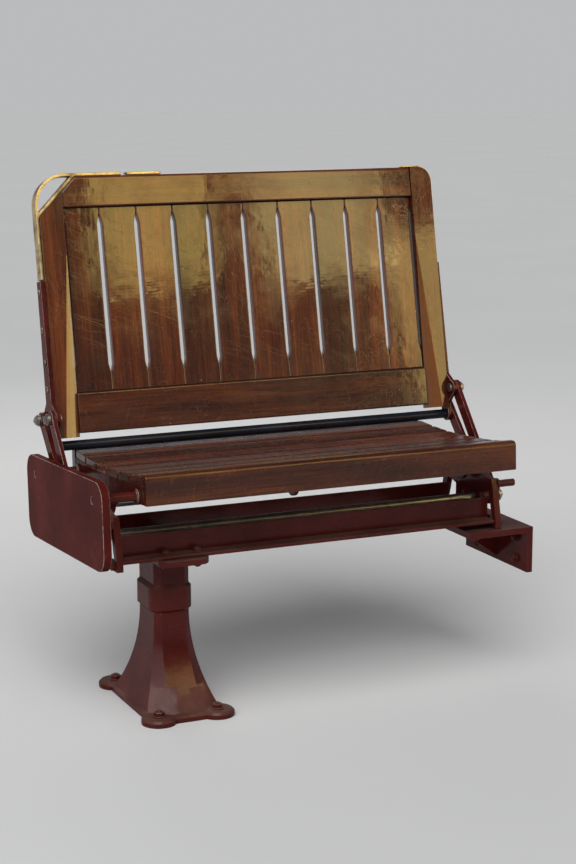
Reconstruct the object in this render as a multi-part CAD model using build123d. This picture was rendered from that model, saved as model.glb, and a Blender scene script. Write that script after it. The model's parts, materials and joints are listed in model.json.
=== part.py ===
from build123d import *
import math
import os

# Reversible slatted seat for two from the saloon of a wooden tram, in millimetres.
# Origin: centre of the pedestal foot on the floor. +X runs from the aisle to the wall, +Z is up.
# At rest the back stands on the +Y side and the passenger faces -Y.

# Whole seat
BACK_WIDTH = 820.0
PEDESTAL_INSET = 150.0
BACK_LEAN = 11.5
PAN_TILT = 3.3
JOINT_GAP = 0.3
PIN_CLEARANCE = 0.05
CUT_MARGIN = 1.0

# Walk-over linkage, seen from the aisle
KNUCKLE_Y = 165.0
KNUCKLE_RISE = 217.0
KNUCKLE_SPACING = 60.0
LINK_BASE_RISE = 35.0
ARM_WIDTH = 24.0
ARM_THICKNESS = 8.0
ARM_EYE_RADIUS = 15.0
ARM_SIDE_GAP = 1.0
PIN_RADIUS = 7.0
PIN_HEAD_RADIUS = 11.0
PIN_HEAD_THICKNESS = 6.0
RIVET_HEAD_RADIUS = 8.5
RIVET_HEAD_THICKNESS = 4.0
OPEN_EYE_CLEARANCE = 1.9
OPEN_EYE_SHIFT = 1.7
TORQUE_SHAFT_RADIUS = 9.0
TORQUE_SHAFT_COLLAR = 4.0
STOP_DISTANCE = 70.0
STOP_RADIUS = 7.0
STOP_SHOULDER = 4.0

# Back frame
BACK_BELOW_KNUCKLE = 37.0
BACK_ABOVE_KNUCKLE = 447.0
STILE_WIDTH = 45.0
STILE_DEPTH = 38.0
TOP_RAIL_HEIGHT = 58.0
TOP_RAIL_DEPTH = 34.0
BOTTOM_RAIL_HEIGHT = 75.0
BOTTOM_RAIL_DEPTH = 28.0
BOTTOM_RAIL_RISE = 7.0
BOTTOM_RAIL_CHAMFER = 2.0
RAIL_ROUNDING = 6.0
CORNER_CHAMFER = 75.0
WALL_CORNER_RADIUS = 30.0
BULLNOSE_TOP = 300.0
BULLNOSE_WIDTH = 30.0
BULLNOSE_DEPTH = 12.0
BULLNOSE_BULGE = 1.5
BULLNOSE_FACETS = 3
BULLNOSE_TOP_SHARE = 0.03

# Back slats: touching at both ends, waisted between
SLAT_COUNT = 10
SLAT_THICKNESS = 14.0
SLAT_GAP = 9.5
SLAT_TOP_SHOULDER = 12.0
SLAT_BOTTOM_SHOULDER = 31.0
SLAT_TAPER = 20.0

# Brass handle on the aisle corner, a flat strap
STRAP_WIDTH = 25.0
STRAP_THICKNESS = 5.5
HANDLE_TOP_LENGTH = 91.0
HANDLE_SIDE_LENGTH = 115.0
HANDLE_BEND_RADIUS = 58.0
TOP_PLATE_GAP = 11.0
TOP_PLATE_LENGTH = 70.0
TOP_PLATE_CORNER = 6.0
CORNER_CAP_LENGTH = 62.0
CORNER_CAP_THICKNESS = 2.0
CORNER_CAP_MARGIN = 2.0

# Side irons that carry the back
IRON_THICKNESS = 8.0
IRON_TOP_WIDTH = 22.0
IRON_TOP_GAP = 2.0
IRON_WIDTH = 32.0
IRON_SHOULDER = 30.0
IRON_EYE_FLAT = 5.0
IRON_TONGUE_WIDTH = 28.0
TIE_BAR_RADIUS = 9.0
TIE_BAR_DROP = 51.0

# Seat pan, measured from its rocking shaft
PAN_SHAFT_RISE = 90.0
PAN_SHAFT_RADIUS = 10.0
PAN_TOP = 76.0
PAN_DEPTH = 400.0
PAN_INSET = 45.0
PAN_DISH = 12.0
APRON_HEIGHT = 54.0
APRON_THICKNESS = 20.0
APRON_ROUNDING = 9.0
SEAT_SLAT_COUNT = 6
SEAT_SLAT_GAP = 6.0
SEAT_SLAT_THICKNESS = 14.0
SEAT_SLAT_CHAMFER = 2.5
SLAT_SEAT_GAP = 0.4
PAN_RIB_THICKNESS = 8.0
PAN_RIB_DEPTH = 34.0
PAN_HUB_RADIUS = 22.0
PAN_WEB_HALF_WIDTH = 17.0
PAN_WEB_SPREAD = 60.0
PAN_RIB_HEEL = 40.0
PAN_WEB_LOW = -6.0

# Cover plate over the linkage, a shallow pressed tray
COVER_LENGTH = 430.0
COVER_HEIGHT = 155.0
COVER_CENTRE_Z = -7.0
COVER_CORNER_RADIUS = 34.0
COVER_THICKNESS = 4.0
COVER_DEPTH = 15.0
COVER_CLEARANCE = 1.0
COVER_SCREW_RADIUS = 7.0
COVER_SCREW_SINK = 2.6
STANDOFF_INSET = 17.0
STANDOFF_Z = 36.0
STANDOFF_RADIUS = 8.0
STANDOFF_COLLAR = 4.5
STANDOFF_COLLAR_LENGTH = 4.5

# Fixed ironwork
CASTING_THICKNESS = 12.0
CASTING_OFFSET = 34.0
BOSS_RADIUS = 17.0
PAN_BOSS_RADIUS = 20.0
BOSS_WALL = 4.0
CASTING_TOE = 16.0
CASTING_RIM = 12.0
WINDOW_SIDE = 24.0
WINDOW_TOP = 14.0
SHAFT_END = 4.0
RAIL_Y = 75.0
RAIL_HEIGHT = 45.0
RAIL_FLANGE = 34.0
RAIL_THICKNESS = 6.0
HEAD_TOP_Z = 295.0
HEAD_THICKNESS = 12.0
HEAD_LENGTH = 236.0
HEAD_WIDTH = 96.0
HEAD_CORNER_RADIUS = 20.0
WALL_GAP = 44.0
BRACKET_OVERLAP = 60.0
WALL_FLANGE_THICKNESS = 12.0
WALL_FLANGE_HEIGHT = 90.0
WALL_BOLT_SPACING_Y = 150.0
WALL_BOLT_SPACING_Z = 44.0
WALL_BOLT_RADIUS = 6.0
WALL_BOLT_DROP = 4.0
GUSSET_THICKNESS = 10.0
GUSSET_SETBACK = 20.0
GUSSET_END = 8.0

# Pedestal
FOOT_BOLT_SPACING_X = 112.0
FOOT_BOLT_SPACING_Y = 232.0
FOOT_BOLT_RADIUS = 6.5
FOOT_SPOT_RADIUS = 13.0
FOOT_LOBE_RADIUS = 32.0
FOOT_WAIST = 14.0
FOOT_THICKNESS = 12.0
FOOT_CHAMFER = 4.0
FLARE_LENGTH = 236.0
FLARE_WIDTH = 136.0
FLARE_ACROSS_CORNERS = 220.0
COLUMN_LENGTH = 92.0
COLUMN_WIDTH = 68.0
COLUMN_ACROSS_CORNERS = 100.0
CORNER_ANGLE = 50.0
COLLAR_DROP = 89.0
COLLAR_HEIGHT = 52.0
COLLAR_PROUD = 7.0
COLLAR_CHAMFER = 6.0
COLLAR_CORNER_RADIUS = 27.0

# Worked-out places
AISLE_X = -PEDESTAL_INSET
WALL_X = AISLE_X + BACK_WIDTH
MIDDLE_X = AISLE_X + BACK_WIDTH / 2
LEAN = math.radians(BACK_LEAN)
KNUCKLE_Z = HEAD_TOP_Z + KNUCKLE_RISE
LINK_BASE_Z = HEAD_TOP_Z + LINK_BASE_RISE
PAN_SHAFT_Z = HEAD_TOP_Z + PAN_SHAFT_RISE
RISE = KNUCKLE_Z - LINK_BASE_Z
BASE_SPACING = KNUCKLE_SPACING * (math.cos(LEAN) - RISE * math.sin(LEAN) / KNUCKLE_Y)
ARM_BASE = (-BASE_SPACING / 2, LINK_BASE_Z)
LINK_BASE = (BASE_SPACING / 2 - OPEN_EYE_SHIFT, LINK_BASE_Z)
HALF_SPREAD_Y = KNUCKLE_SPACING / 2 * math.cos(LEAN)
HALF_SPREAD_Z = KNUCKLE_SPACING / 2 * math.sin(LEAN)
ARM_TOP = (KNUCKLE_Y - HALF_SPREAD_Y, KNUCKLE_Z + HALF_SPREAD_Z)
LINK_TOP = (KNUCKLE_Y + HALF_SPREAD_Y - OPEN_EYE_SHIFT, KNUCKLE_Z - HALF_SPREAD_Z)
IRON_OUT = AISLE_X - IRON_THICKNESS
ARM_IN = IRON_OUT - ARM_SIDE_GAP
ARM_OUT = ARM_IN - ARM_THICKNESS
HEAD_OUT = ARM_OUT - PIN_HEAD_THICKNESS
COVER_RIM_IN = HEAD_OUT - COVER_CLEARANCE
COVER_OUT = COVER_RIM_IN - COVER_DEPTH
COVER_IN = COVER_OUT + COVER_THICKNESS
CASTING_IN = AISLE_X + CASTING_OFFSET
CASTING_OUT = CASTING_IN - CASTING_THICKNESS
PAN_AISLE_X = AISLE_X + PAN_INSET
PAN_WALL_X = WALL_X - PAN_INSET
INNER_AISLE = AISLE_X + STILE_WIDTH
INNER_WALL = WALL_X - STILE_WIDTH
PANEL_BOTTOM = -BACK_BELOW_KNUCKLE + BOTTOM_RAIL_RISE + BOTTOM_RAIL_HEIGHT
PANEL_TOP = BACK_ABOVE_KNUCKLE - TOP_RAIL_HEIGHT
WALL_FACE_X = WALL_X + WALL_GAP
COLUMN_TOP_Z = HEAD_TOP_Z - HEAD_THICKNESS
COLLAR_LOW_Z = HEAD_TOP_Z - COLLAR_DROP - COLLAR_HEIGHT / 2
STANDOFF_Y = PAN_DEPTH / 2 - APRON_THICKNESS - STANDOFF_INSET

BACK_PLANE = Plane(
    origin=(0, KNUCKLE_Y, KNUCKLE_Z),
    x_dir=(1, 0, 0),
    z_dir=(0, -math.cos(LEAN), math.sin(LEAN)),
)
PAN_PLACE = Location((0, 0, PAN_SHAFT_Z)) * Rotation(-PAN_TILT, 0, 0)

pieces = {}


def side_plane(x):
    """A plane across the seat at x, seen from the wall: its axes are +Y and +Z."""
    return Plane(origin=(x, 0, 0), x_dir=(0, 1, 0), z_dir=(1, 0, 0))


def slab(sketch, x_low, x_high):
    """A side-view sketch given thickness from x_low to x_high."""
    return side_plane(x_low) * extrude(sketch, amount=x_high - x_low)


def rod(x_low, x_high, radius, y, z):
    """A round bar along X."""
    return slab(Pos(y, z) * Circle(radius), x_low, x_high)


def block(x_low, x_high, y_low, y_high, z_low, z_high):
    """A plain block between two corners."""
    centre = ((x_low + x_high) / 2, (y_low + y_high) / 2, (z_low + z_high) / 2)
    return Pos(*centre) * Box(x_high - x_low, y_high - y_low, z_high - z_low)


def to_wall(shape):
    """The same piece at the wall end, as its mirror image."""
    return shape.mirror(Plane(origin=(MIDDLE_X, 0, 0), z_dir=(1, 0, 0)))


def both_ends(name, shape):
    """One piece at each end of the seat."""
    pieces[name + "_aisle"] = shape
    pieces[name + "_wall"] = to_wall(shape)


def in_back(shape):
    """Puts a piece drawn in the back's own axes at its lean."""
    return BACK_PLANE.location * shape


def in_pan(shape):
    """Puts a piece drawn level about the rocking shaft at the pan's tilt."""
    return PAN_PLACE * shape


def strap_between(start, end, width, start_radius, end_radius):
    """Side view of a flat strap with a round eye at each end."""
    length = math.dist(start, end)
    angle = math.degrees(math.atan2(end[1] - start[1], end[0] - start[0]))
    bar = Pos(length / 2, 0) * Rectangle(length, width)
    shape = bar + Circle(start_radius) + Pos(length, 0) * Circle(end_radius)
    return Pos(*start) * Rotation(0, 0, angle) * shape


# Pedestal: an eight-sided column that sweeps out into a foot with a toe at each corner
def flare(direction, top, foot):
    """A wide body whose two faces stand across direction: straight down, then out to the foot in one arc."""
    spread = foot - top
    drop = COLLAR_LOW_Z - FOOT_THICKNESS
    radius = (spread**2 + drop**2) / (2 * spread)
    half_turn = math.asin(drop / radius) / 2
    middle = (top + radius * (1 - math.cos(half_turn)), COLLAR_LOW_Z - radius * math.sin(half_turn))
    sweep_out = ThreePointArc((top, COLLAR_LOW_Z), middle, (foot, FOOT_THICKNESS))
    foot_line = Line((foot, FOOT_THICKNESS), (-foot, FOOT_THICKNESS))
    up_left = Line((-top, COLLAR_LOW_Z), (-top, COLUMN_TOP_Z))
    top_line = Line((-top, COLUMN_TOP_Z), (top, COLUMN_TOP_Z))
    down_right = Line((top, COLUMN_TOP_Z), (top, COLLAR_LOW_Z))
    outline = make_face([sweep_out, foot_line, sweep_out.mirror(Plane.YZ), up_left, top_line, down_right])
    return Rotation(0, 0, direction) * extrude(Plane.XZ * outline, amount=FLARE_LENGTH, both=True)


def flared_column():
    body = flare(0, COLUMN_WIDTH / 2, FLARE_WIDTH / 2) & flare(90, COLUMN_LENGTH / 2, FLARE_LENGTH / 2)
    for direction in (-CORNER_ANGLE, CORNER_ANGLE):
        body &= flare(direction, COLUMN_ACROSS_CORNERS / 2, FLARE_ACROSS_CORNERS / 2)
    return body


def foot_plate():
    side = 2 * (FOOT_LOBE_RADIUS - FOOT_WAIST)
    outline = Rectangle(FOOT_BOLT_SPACING_X + side, FOOT_BOLT_SPACING_Y)
    outline += Rectangle(FOOT_BOLT_SPACING_X, FOOT_BOLT_SPACING_Y + side)
    for x, y in foot_bolts():
        outline += Pos(x, y) * Circle(FOOT_LOBE_RADIUS)
    plate = extrude(outline, amount=FOOT_THICKNESS)
    return chamfer(plate.edges().group_by(Axis.Z)[-1], FOOT_CHAMFER)


def foot_bolts():
    """The four bolt places, one in each toe."""
    half_x = FOOT_BOLT_SPACING_X / 2
    half_y = FOOT_BOLT_SPACING_Y / 2
    return [(x, y) for x in (-half_x, half_x) for y in (-half_y, half_y)]


def collar():
    width = COLUMN_WIDTH + 2 * COLLAR_PROUD
    length = COLUMN_LENGTH + 2 * COLLAR_PROUD
    outline = RectangleRounded(width, length, COLLAR_CORNER_RADIUS)
    band = Pos(0, 0, COLLAR_LOW_Z) * extrude(outline, amount=COLLAR_HEIGHT)
    band = chamfer(band.edges().group_by(Axis.Z)[-1], COLLAR_CHAMFER)
    return chamfer(band.edges().group_by(Axis.Z)[0], COLLAR_CHAMFER)


def pedestal():
    body = foot_plate() + flared_column() + collar()
    for x, y in foot_bolts():
        body -= Pos(x, y, FOOT_THICKNESS / 2) * Cylinder(FOOT_BOLT_RADIUS, 2 * FOOT_THICKNESS)
        body -= Pos(x, y, COLLAR_LOW_Z / 2 + FOOT_THICKNESS) * Cylinder(FOOT_SPOT_RADIUS, COLLAR_LOW_Z)
    return body


def pedestal_head():
    plate = extrude(RectangleRounded(HEAD_WIDTH, HEAD_LENGTH, HEAD_CORNER_RADIUS), amount=HEAD_THICKNESS)
    return Pos(0, 0, COLUMN_TOP_Z) * plate


pieces["pedestal"] = pedestal()
pieces["pedestal_head"] = pedestal_head()


# Cross rails: two angle irons from the aisle casting to the wall casting
def cross_rail(side):
    web = Pos(side * RAIL_Y, HEAD_TOP_Z + RAIL_HEIGHT / 2) * Rectangle(RAIL_THICKNESS, RAIL_HEIGHT)
    flange_y = side * (RAIL_Y + RAIL_FLANGE / 2 - RAIL_THICKNESS / 2)
    flange = Pos(flange_y, HEAD_TOP_Z + RAIL_THICKNESS / 2) * Rectangle(RAIL_FLANGE, RAIL_THICKNESS)
    wall_end = 2 * MIDDLE_X - CASTING_IN
    return slab(web + flange, CASTING_IN, wall_end)


pieces["cross_rail_front"] = cross_rail(-1)
pieces["cross_rail_rear"] = cross_rail(1)


# End castings: an open web with bosses for the linkage, the rocking shaft and the stops
def stop_place(side):
    """Where a strap comes to rest: the link on the +Y side, the arm on the -Y side."""
    base_y = LINK_BASE[0] if side > 0 else -ARM_BASE[0]
    reach = (LINK_TOP[0] - LINK_BASE[0], LINK_TOP[1] - LINK_BASE[1])
    length = math.hypot(*reach)
    along = (reach[0] / length, reach[1] / length)
    offset = ARM_WIDTH / 2 + STOP_RADIUS + JOINT_GAP
    y = base_y + STOP_DISTANCE * along[0] + offset * along[1]
    z = LINK_BASE[1] + STOP_DISTANCE * along[1] - offset * along[0]
    return (side * y, z)


def end_casting():
    stop_y, stop_z = stop_place(1)
    low = COLUMN_TOP_Z
    foot_y = RAIL_Y + RAIL_FLANGE
    ear = STOP_RADIUS + STOP_SHOULDER
    shoulder_y = PAN_BOSS_RADIUS + BOSS_WALL
    right = (
        (foot_y, low),
        (foot_y, low + CASTING_TOE),
        (stop_y + ear, stop_z - ear / 2),
        (stop_y + ear / 2, stop_z + ear),
        (stop_y - ear, stop_z + ear),
        (shoulder_y, PAN_SHAFT_Z + BOSS_WALL),
    )
    left = [(-y, z) for y, z in reversed(right)]
    web = make_face(Polyline(*right, *left, close=True))
    web += Pos(0, PAN_SHAFT_Z) * Circle(shoulder_y)
    window_y = BASE_SPACING / 2 + WINDOW_SIDE
    window = make_face(
        Polyline(
            (window_y, low + CASTING_RIM),
            (foot_y - CASTING_RIM, low + CASTING_RIM),
            (stop_y - STOP_SHOULDER, stop_z - ear - STOP_SHOULDER),
            (window_y, LINK_BASE_Z + WINDOW_TOP),
            close=True,
        )
    )
    web = web - window - window.mirror(Plane.YZ)
    body = slab(web, CASTING_OUT, CASTING_IN)
    for y, z in (ARM_BASE, LINK_BASE):
        body += rod(IRON_OUT, CASTING_OUT, BOSS_RADIUS, y, z)
    for side in (-1, 1):
        y, z = stop_place(side)
        body += rod(CASTING_OUT - STOP_SHOULDER, CASTING_OUT, ear, y, z)
        body += rod(ARM_OUT, CASTING_OUT, STOP_RADIUS, y, z)
    # bore radius, middle in the side view
    bores = (
        (TORQUE_SHAFT_RADIUS, *ARM_BASE),
        (PIN_RADIUS, *LINK_BASE),
        (PAN_SHAFT_RADIUS, 0, PAN_SHAFT_Z),
    )
    for radius, y, z in bores:
        body -= rod(HEAD_OUT, CASTING_IN + CASTING_THICKNESS, radius + PIN_CLEARANCE, y, z)
    return body


both_ends("end_casting", end_casting())


# Wall bracket under the far ends of the rails
def wall_bracket():
    top = COLUMN_TOP_Z
    under = top - HEAD_THICKNESS
    half = HEAD_LENGTH / 2
    inner = 2 * MIDDLE_X - CASTING_IN - BRACKET_OVERLAP
    flange_in = WALL_FACE_X - WALL_FLANGE_THICKNESS
    flange_low = top - WALL_FLANGE_HEIGHT
    body = block(inner, WALL_FACE_X, -half, half, under, top)
    body += block(flange_in, WALL_FACE_X, -half, half, flange_low, top)
    gusset = Polyline(
        (inner + GUSSET_SETBACK, under),
        (flange_in, under),
        (flange_in, flange_low + GUSSET_END),
        close=True,
    )
    body += extrude(Plane.XZ * make_face(gusset), amount=GUSSET_THICKNESS / 2, both=True)
    middle_z = flange_low + WALL_FLANGE_HEIGHT / 2 - WALL_BOLT_DROP
    bolt_in = flange_in - WALL_FLANGE_THICKNESS
    bolt_out = WALL_FACE_X + WALL_FLANGE_THICKNESS
    for y in (-WALL_BOLT_SPACING_Y / 2, WALL_BOLT_SPACING_Y / 2):
        for z in (-WALL_BOLT_SPACING_Z / 2, WALL_BOLT_SPACING_Z / 2):
            body -= rod(bolt_in, bolt_out, WALL_BOLT_RADIUS, y, middle_z + z)
    return body


pieces["wall_bracket"] = wall_bracket()
shaft_low = CASTING_OUT - SHAFT_END
pieces["rock_shaft"] = rod(shaft_low, 2 * MIDDLE_X - shaft_low, PAN_SHAFT_RADIUS, 0, PAN_SHAFT_Z)


def headed_pin(x_in, radius, y, z):
    """A pin from x_in out through the strap, with its head outside."""
    shank = rod(ARM_OUT - JOINT_GAP, x_in, radius, y, z)
    return shank + rod(HEAD_OUT, ARM_OUT - JOINT_GAP, PIN_HEAD_RADIUS, y, z)


both_ends("link_pin", headed_pin(CASTING_IN, PIN_RADIUS, *LINK_BASE))


# Walk-over arms, joined across the seat by a torque shaft
def arm():
    sketch = strap_between(ARM_BASE, ARM_TOP, ARM_WIDTH, ARM_EYE_RADIUS, ARM_EYE_RADIUS)
    sketch -= Pos(*ARM_BASE) * Circle(TORQUE_SHAFT_RADIUS + PIN_CLEARANCE)
    sketch -= Pos(*ARM_TOP) * Circle(PIN_RADIUS + PIN_CLEARANCE)
    return slab(sketch, ARM_OUT, ARM_IN)


def link():
    sketch = strap_between(LINK_BASE, LINK_TOP, ARM_WIDTH, ARM_EYE_RADIUS, ARM_EYE_RADIUS)
    sketch -= Pos(*LINK_BASE) * Circle(PIN_RADIUS + PIN_CLEARANCE)
    sketch -= Pos(*LINK_TOP) * Circle(PIN_RADIUS + OPEN_EYE_CLEARANCE)
    return slab(sketch, ARM_OUT, ARM_IN)


def torque_shaft():
    wall_arm_out = 2 * MIDDLE_X - ARM_OUT
    wall_head_out = 2 * MIDDLE_X - HEAD_OUT
    shaft = rod(ARM_OUT, wall_arm_out, TORQUE_SHAFT_RADIUS, *ARM_BASE)
    collar_radius = TORQUE_SHAFT_RADIUS + TORQUE_SHAFT_COLLAR
    shaft += rod(HEAD_OUT, ARM_OUT, collar_radius, *ARM_BASE)
    return shaft + rod(wall_arm_out, wall_head_out, collar_radius, *ARM_BASE)


both_ends("arm", arm())
both_ends("link", link())
pieces["torque_shaft"] = torque_shaft()


# Back frame, drawn in the back's own axes: X across, Y up the back, Z towards the passenger
def aisle_corner_cut():
    """The triangle that the 45 degree cut takes off the aisle top corner."""
    corner = make_face(
        Polyline(
            (AISLE_X - CUT_MARGIN, BACK_ABOVE_KNUCKLE - CORNER_CHAMFER - CUT_MARGIN),
            (AISLE_X + CORNER_CHAMFER + CUT_MARGIN, BACK_ABOVE_KNUCKLE + CUT_MARGIN),
            (AISLE_X - CUT_MARGIN, BACK_ABOVE_KNUCKLE + CUT_MARGIN),
            close=True,
        )
    )
    return extrude(corner, amount=STILE_DEPTH, both=True)


def bullnose_cut(side):
    """The long rounded facet that widens down the stile's inner edge, on one face."""
    face_w = side * STILE_DEPTH / 2
    sections = []
    # height up the back, share of the full facet
    for height, share in ((-BACK_BELOW_KNUCKLE - CUT_MARGIN, 1.0), (BULLNOSE_TOP, BULLNOSE_TOP_SHARE)):
        width = BULLNOSE_WIDTH * share
        depth = BULLNOSE_DEPTH * share
        bulge = BULLNOSE_BULGE * share
        middle = (INNER_AISLE - width / 2 + bulge, height, face_w - side * (depth / 2 - bulge))
        curve = ThreePointArc(
            (INNER_AISLE - width, height, face_w), middle, (INNER_AISLE, height, face_w - side * depth)
        )
        facets = [curve @ (step / BULLNOSE_FACETS) for step in range(BULLNOSE_FACETS + 1)]
        outside = (
            (INNER_AISLE + CUT_MARGIN, height, face_w - side * depth),
            (INNER_AISLE + CUT_MARGIN, height, face_w + side * CUT_MARGIN),
            (INNER_AISLE - width, height, face_w + side * CUT_MARGIN),
        )
        sections.append(make_face(Polyline(*facets, *outside, close=True)))
    return loft(sections, ruled=True)


def stile():
    height = BACK_ABOVE_KNUCKLE + BACK_BELOW_KNUCKLE
    body = Pos(
        AISLE_X + STILE_WIDTH / 2, BACK_ABOVE_KNUCKLE - height / 2, 0
    ) * Box(STILE_WIDTH, height, STILE_DEPTH)
    for side in (-1, 1):
        body -= bullnose_cut(side)
    return body


def top_rail():
    length = INNER_WALL - INNER_AISLE
    middle = BACK_ABOVE_KNUCKLE - TOP_RAIL_HEIGHT / 2
    bar = Pos(MIDDLE_X, middle, 0) * Box(length, TOP_RAIL_HEIGHT, TOP_RAIL_DEPTH)
    top_edges = bar.edges().filter_by(Axis.X).group_by(Axis.Y)[-1]
    bar = fillet(top_edges, RAIL_ROUNDING)
    return bar - aisle_corner_cut()


def bottom_rail():
    length = INNER_WALL - INNER_AISLE
    middle = PANEL_BOTTOM - BOTTOM_RAIL_HEIGHT / 2
    bar = Pos(MIDDLE_X, middle, 0) * Box(length, BOTTOM_RAIL_HEIGHT, BOTTOM_RAIL_DEPTH)
    return chamfer(bar.edges().filter_by(Axis.X), BOTTOM_RAIL_CHAMFER)


def back_slat(index):
    pitch = (INNER_WALL - INNER_AISLE) / SLAT_COUNT
    half = pitch / 2 - JOINT_GAP / 2
    waist = pitch / 2 - SLAT_GAP / 2
    middle_x = INNER_AISLE + pitch * (index + 0.5)
    # half width, height up the back
    edge = (
        (half, PANEL_BOTTOM),
        (half, PANEL_BOTTOM + SLAT_BOTTOM_SHOULDER),
        (waist, PANEL_BOTTOM + SLAT_BOTTOM_SHOULDER + SLAT_TAPER),
        (waist, PANEL_TOP - SLAT_TOP_SHOULDER - SLAT_TAPER),
        (half, PANEL_TOP - SLAT_TOP_SHOULDER),
        (half, PANEL_TOP),
    )
    right = [(middle_x + x, y) for x, y in edge]
    left = [(middle_x - x, y) for x, y in reversed(edge)]
    outline = make_face(Polyline(*right, *left, close=True))
    return extrude(outline, amount=SLAT_THICKNESS / 2, both=True)


aisle_stile = stile()
wall_stile = to_wall(aisle_stile)
wall_corner = wall_stile.edges().filter_by(Axis.Z).group_by(Axis.Y)[-1].sort_by(Axis.X)[-1]
pieces["stile_aisle"] = in_back(aisle_stile - aisle_corner_cut())
pieces["stile_wall"] = in_back(fillet(wall_corner, WALL_CORNER_RADIUS))
pieces["top_rail"] = in_back(top_rail())
pieces["bottom_rail"] = in_back(bottom_rail())
for number in range(SLAT_COUNT):
    pieces[f"back_slat_{number + 1:02d}"] = in_back(back_slat(number))


# Brass: the handle's loop and diagonal, the plate beside it and the cap on the wall corner
def brass_handle():
    top = BACK_ABOVE_KNUCKLE
    half = STRAP_THICKNESS / 2
    line_y = top + half
    line_x = AISLE_X - half
    cut = CORNER_CHAMFER
    bend = HANDLE_BEND_RADIUS
    path = FilletPolyline(
        (AISLE_X + cut + HANDLE_TOP_LENGTH, line_y),
        (line_x, line_y),
        (line_x, top - cut - HANDLE_SIDE_LENGTH),
        radius=bend,
    )
    start = Plane(origin=path @ 0, x_dir=(0, 0, 1), z_dir=path % 0)
    strap = sweep(start * Rectangle(STRAP_WIDTH, STRAP_THICKNESS), path=path)
    diagonal = make_face(
        Polyline(
            (AISLE_X, top - cut),
            (AISLE_X + cut, top),
            (AISLE_X + cut - STRAP_THICKNESS * math.sqrt(2), top),
            (AISLE_X, top - cut + STRAP_THICKNESS * math.sqrt(2)),
            close=True,
        )
    )
    return strap + extrude(diagonal, amount=STRAP_WIDTH / 2, both=True)


def brass_plate():
    start = AISLE_X + CORNER_CHAMFER + HANDLE_TOP_LENGTH + TOP_PLATE_GAP
    sketch = Pos(start + TOP_PLATE_LENGTH / 2, 0) * RectangleRounded(
        TOP_PLATE_LENGTH, STRAP_WIDTH, TOP_PLATE_CORNER
    )
    return Plane.XZ.offset(-BACK_ABOVE_KNUCKLE) * extrude(sketch, amount=-STRAP_THICKNESS)


def corner_cap():
    top = BACK_ABOVE_KNUCKLE + CORNER_CAP_THICKNESS / 2
    side = WALL_X + CORNER_CAP_THICKNESS / 2
    path = FilletPolyline(
        (WALL_X - CORNER_CAP_LENGTH, top),
        (side, top),
        (side, BACK_ABOVE_KNUCKLE - CORNER_CAP_LENGTH),
        radius=WALL_CORNER_RADIUS + CORNER_CAP_THICKNESS / 2,
    )
    start = Plane(origin=path @ 0, x_dir=(0, 0, 1), z_dir=path % 0)
    strip = Rectangle(STILE_DEPTH - 2 * CORNER_CAP_MARGIN, CORNER_CAP_THICKNESS)
    return sweep(start * strip, path=path)


pieces["brass_handle"] = in_back(brass_handle())
pieces["brass_plate"] = in_back(brass_plate())
pieces["corner_cap"] = in_back(corner_cap())


# Side irons: a strap down the stile, a foot for both pins and a tongue round the tie bar
def side_iron():
    top = BACK_ABOVE_KNUCKLE - CORNER_CHAMFER - HANDLE_SIDE_LENGTH - IRON_TOP_GAP
    half = KNUCKLE_SPACING / 2
    shoulder = IRON_WIDTH / 2
    tongue = IRON_TONGUE_WIDTH / 2
    # half width, height from the knuckle
    edge = (
        (IRON_TOP_WIDTH / 2, top),
        (shoulder, IRON_SHOULDER),
        (half + ARM_EYE_RADIUS, IRON_EYE_FLAT),
        (half + ARM_EYE_RADIUS, -IRON_EYE_FLAT),
        (tongue, -IRON_SHOULDER),
        (tongue, -TIE_BAR_DROP),
    )
    right = list(edge)
    left = [(-w, z) for w, z in reversed(edge)]
    shape = make_face(Polyline(*right, *left, close=True))
    shape += Pos(0, -TIE_BAR_DROP) * Circle(tongue)
    for w in (-half, half):
        shape += Pos(w, 0) * Circle(ARM_EYE_RADIUS)
        shape -= Pos(w, 0) * Circle(PIN_RADIUS + PIN_CLEARANCE)
    shape -= Pos(0, -TIE_BAR_DROP) * Circle(TIE_BAR_RADIUS + PIN_CLEARANCE)
    return slab_in_back(shape)


def slab_in_back(shape):
    """A side-view sketch given the iron's thickness on the stile's outer face."""
    side = Plane(origin=(IRON_OUT, 0, 0), x_dir=(0, 0, -1), z_dir=(1, 0, 0))
    return side * extrude(shape, amount=IRON_THICKNESS)


def back_rod(x_low, x_high, radius, height, forward):
    """A round bar along X in the back's own axes."""
    length = x_high - x_low
    return Pos((x_low + x_high) / 2, height, forward) * Rotation(0, 90, 0) * Cylinder(radius, length)


def knuckle_pins():
    pins = Part()
    for w in (-KNUCKLE_SPACING / 2, KNUCKLE_SPACING / 2):
        pins += back_rod(HEAD_OUT, ARM_OUT - JOINT_GAP, PIN_HEAD_RADIUS, 0, w)
        pins += back_rod(ARM_OUT - JOINT_GAP, AISLE_X, PIN_RADIUS, 0, w)
        pins += back_rod(AISLE_X, AISLE_X + RIVET_HEAD_THICKNESS, RIVET_HEAD_RADIUS, 0, w)
    return pins


both_ends("side_iron", in_back(side_iron()))
both_ends("knuckle_pins", in_back(knuckle_pins()))
tie_end = 2 * MIDDLE_X - IRON_OUT
pieces["back_tie_bar"] = in_back(back_rod(IRON_OUT, tie_end, TIE_BAR_RADIUS, -TIE_BAR_DROP, 0))


# Seat pan, drawn level about its rocking shaft
def dish_drop(y):
    """How far the seat's surface lies below the apron's top at y."""
    share = y / (PAN_DEPTH / 2)
    return PAN_DISH * (1 - share * share)


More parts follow.
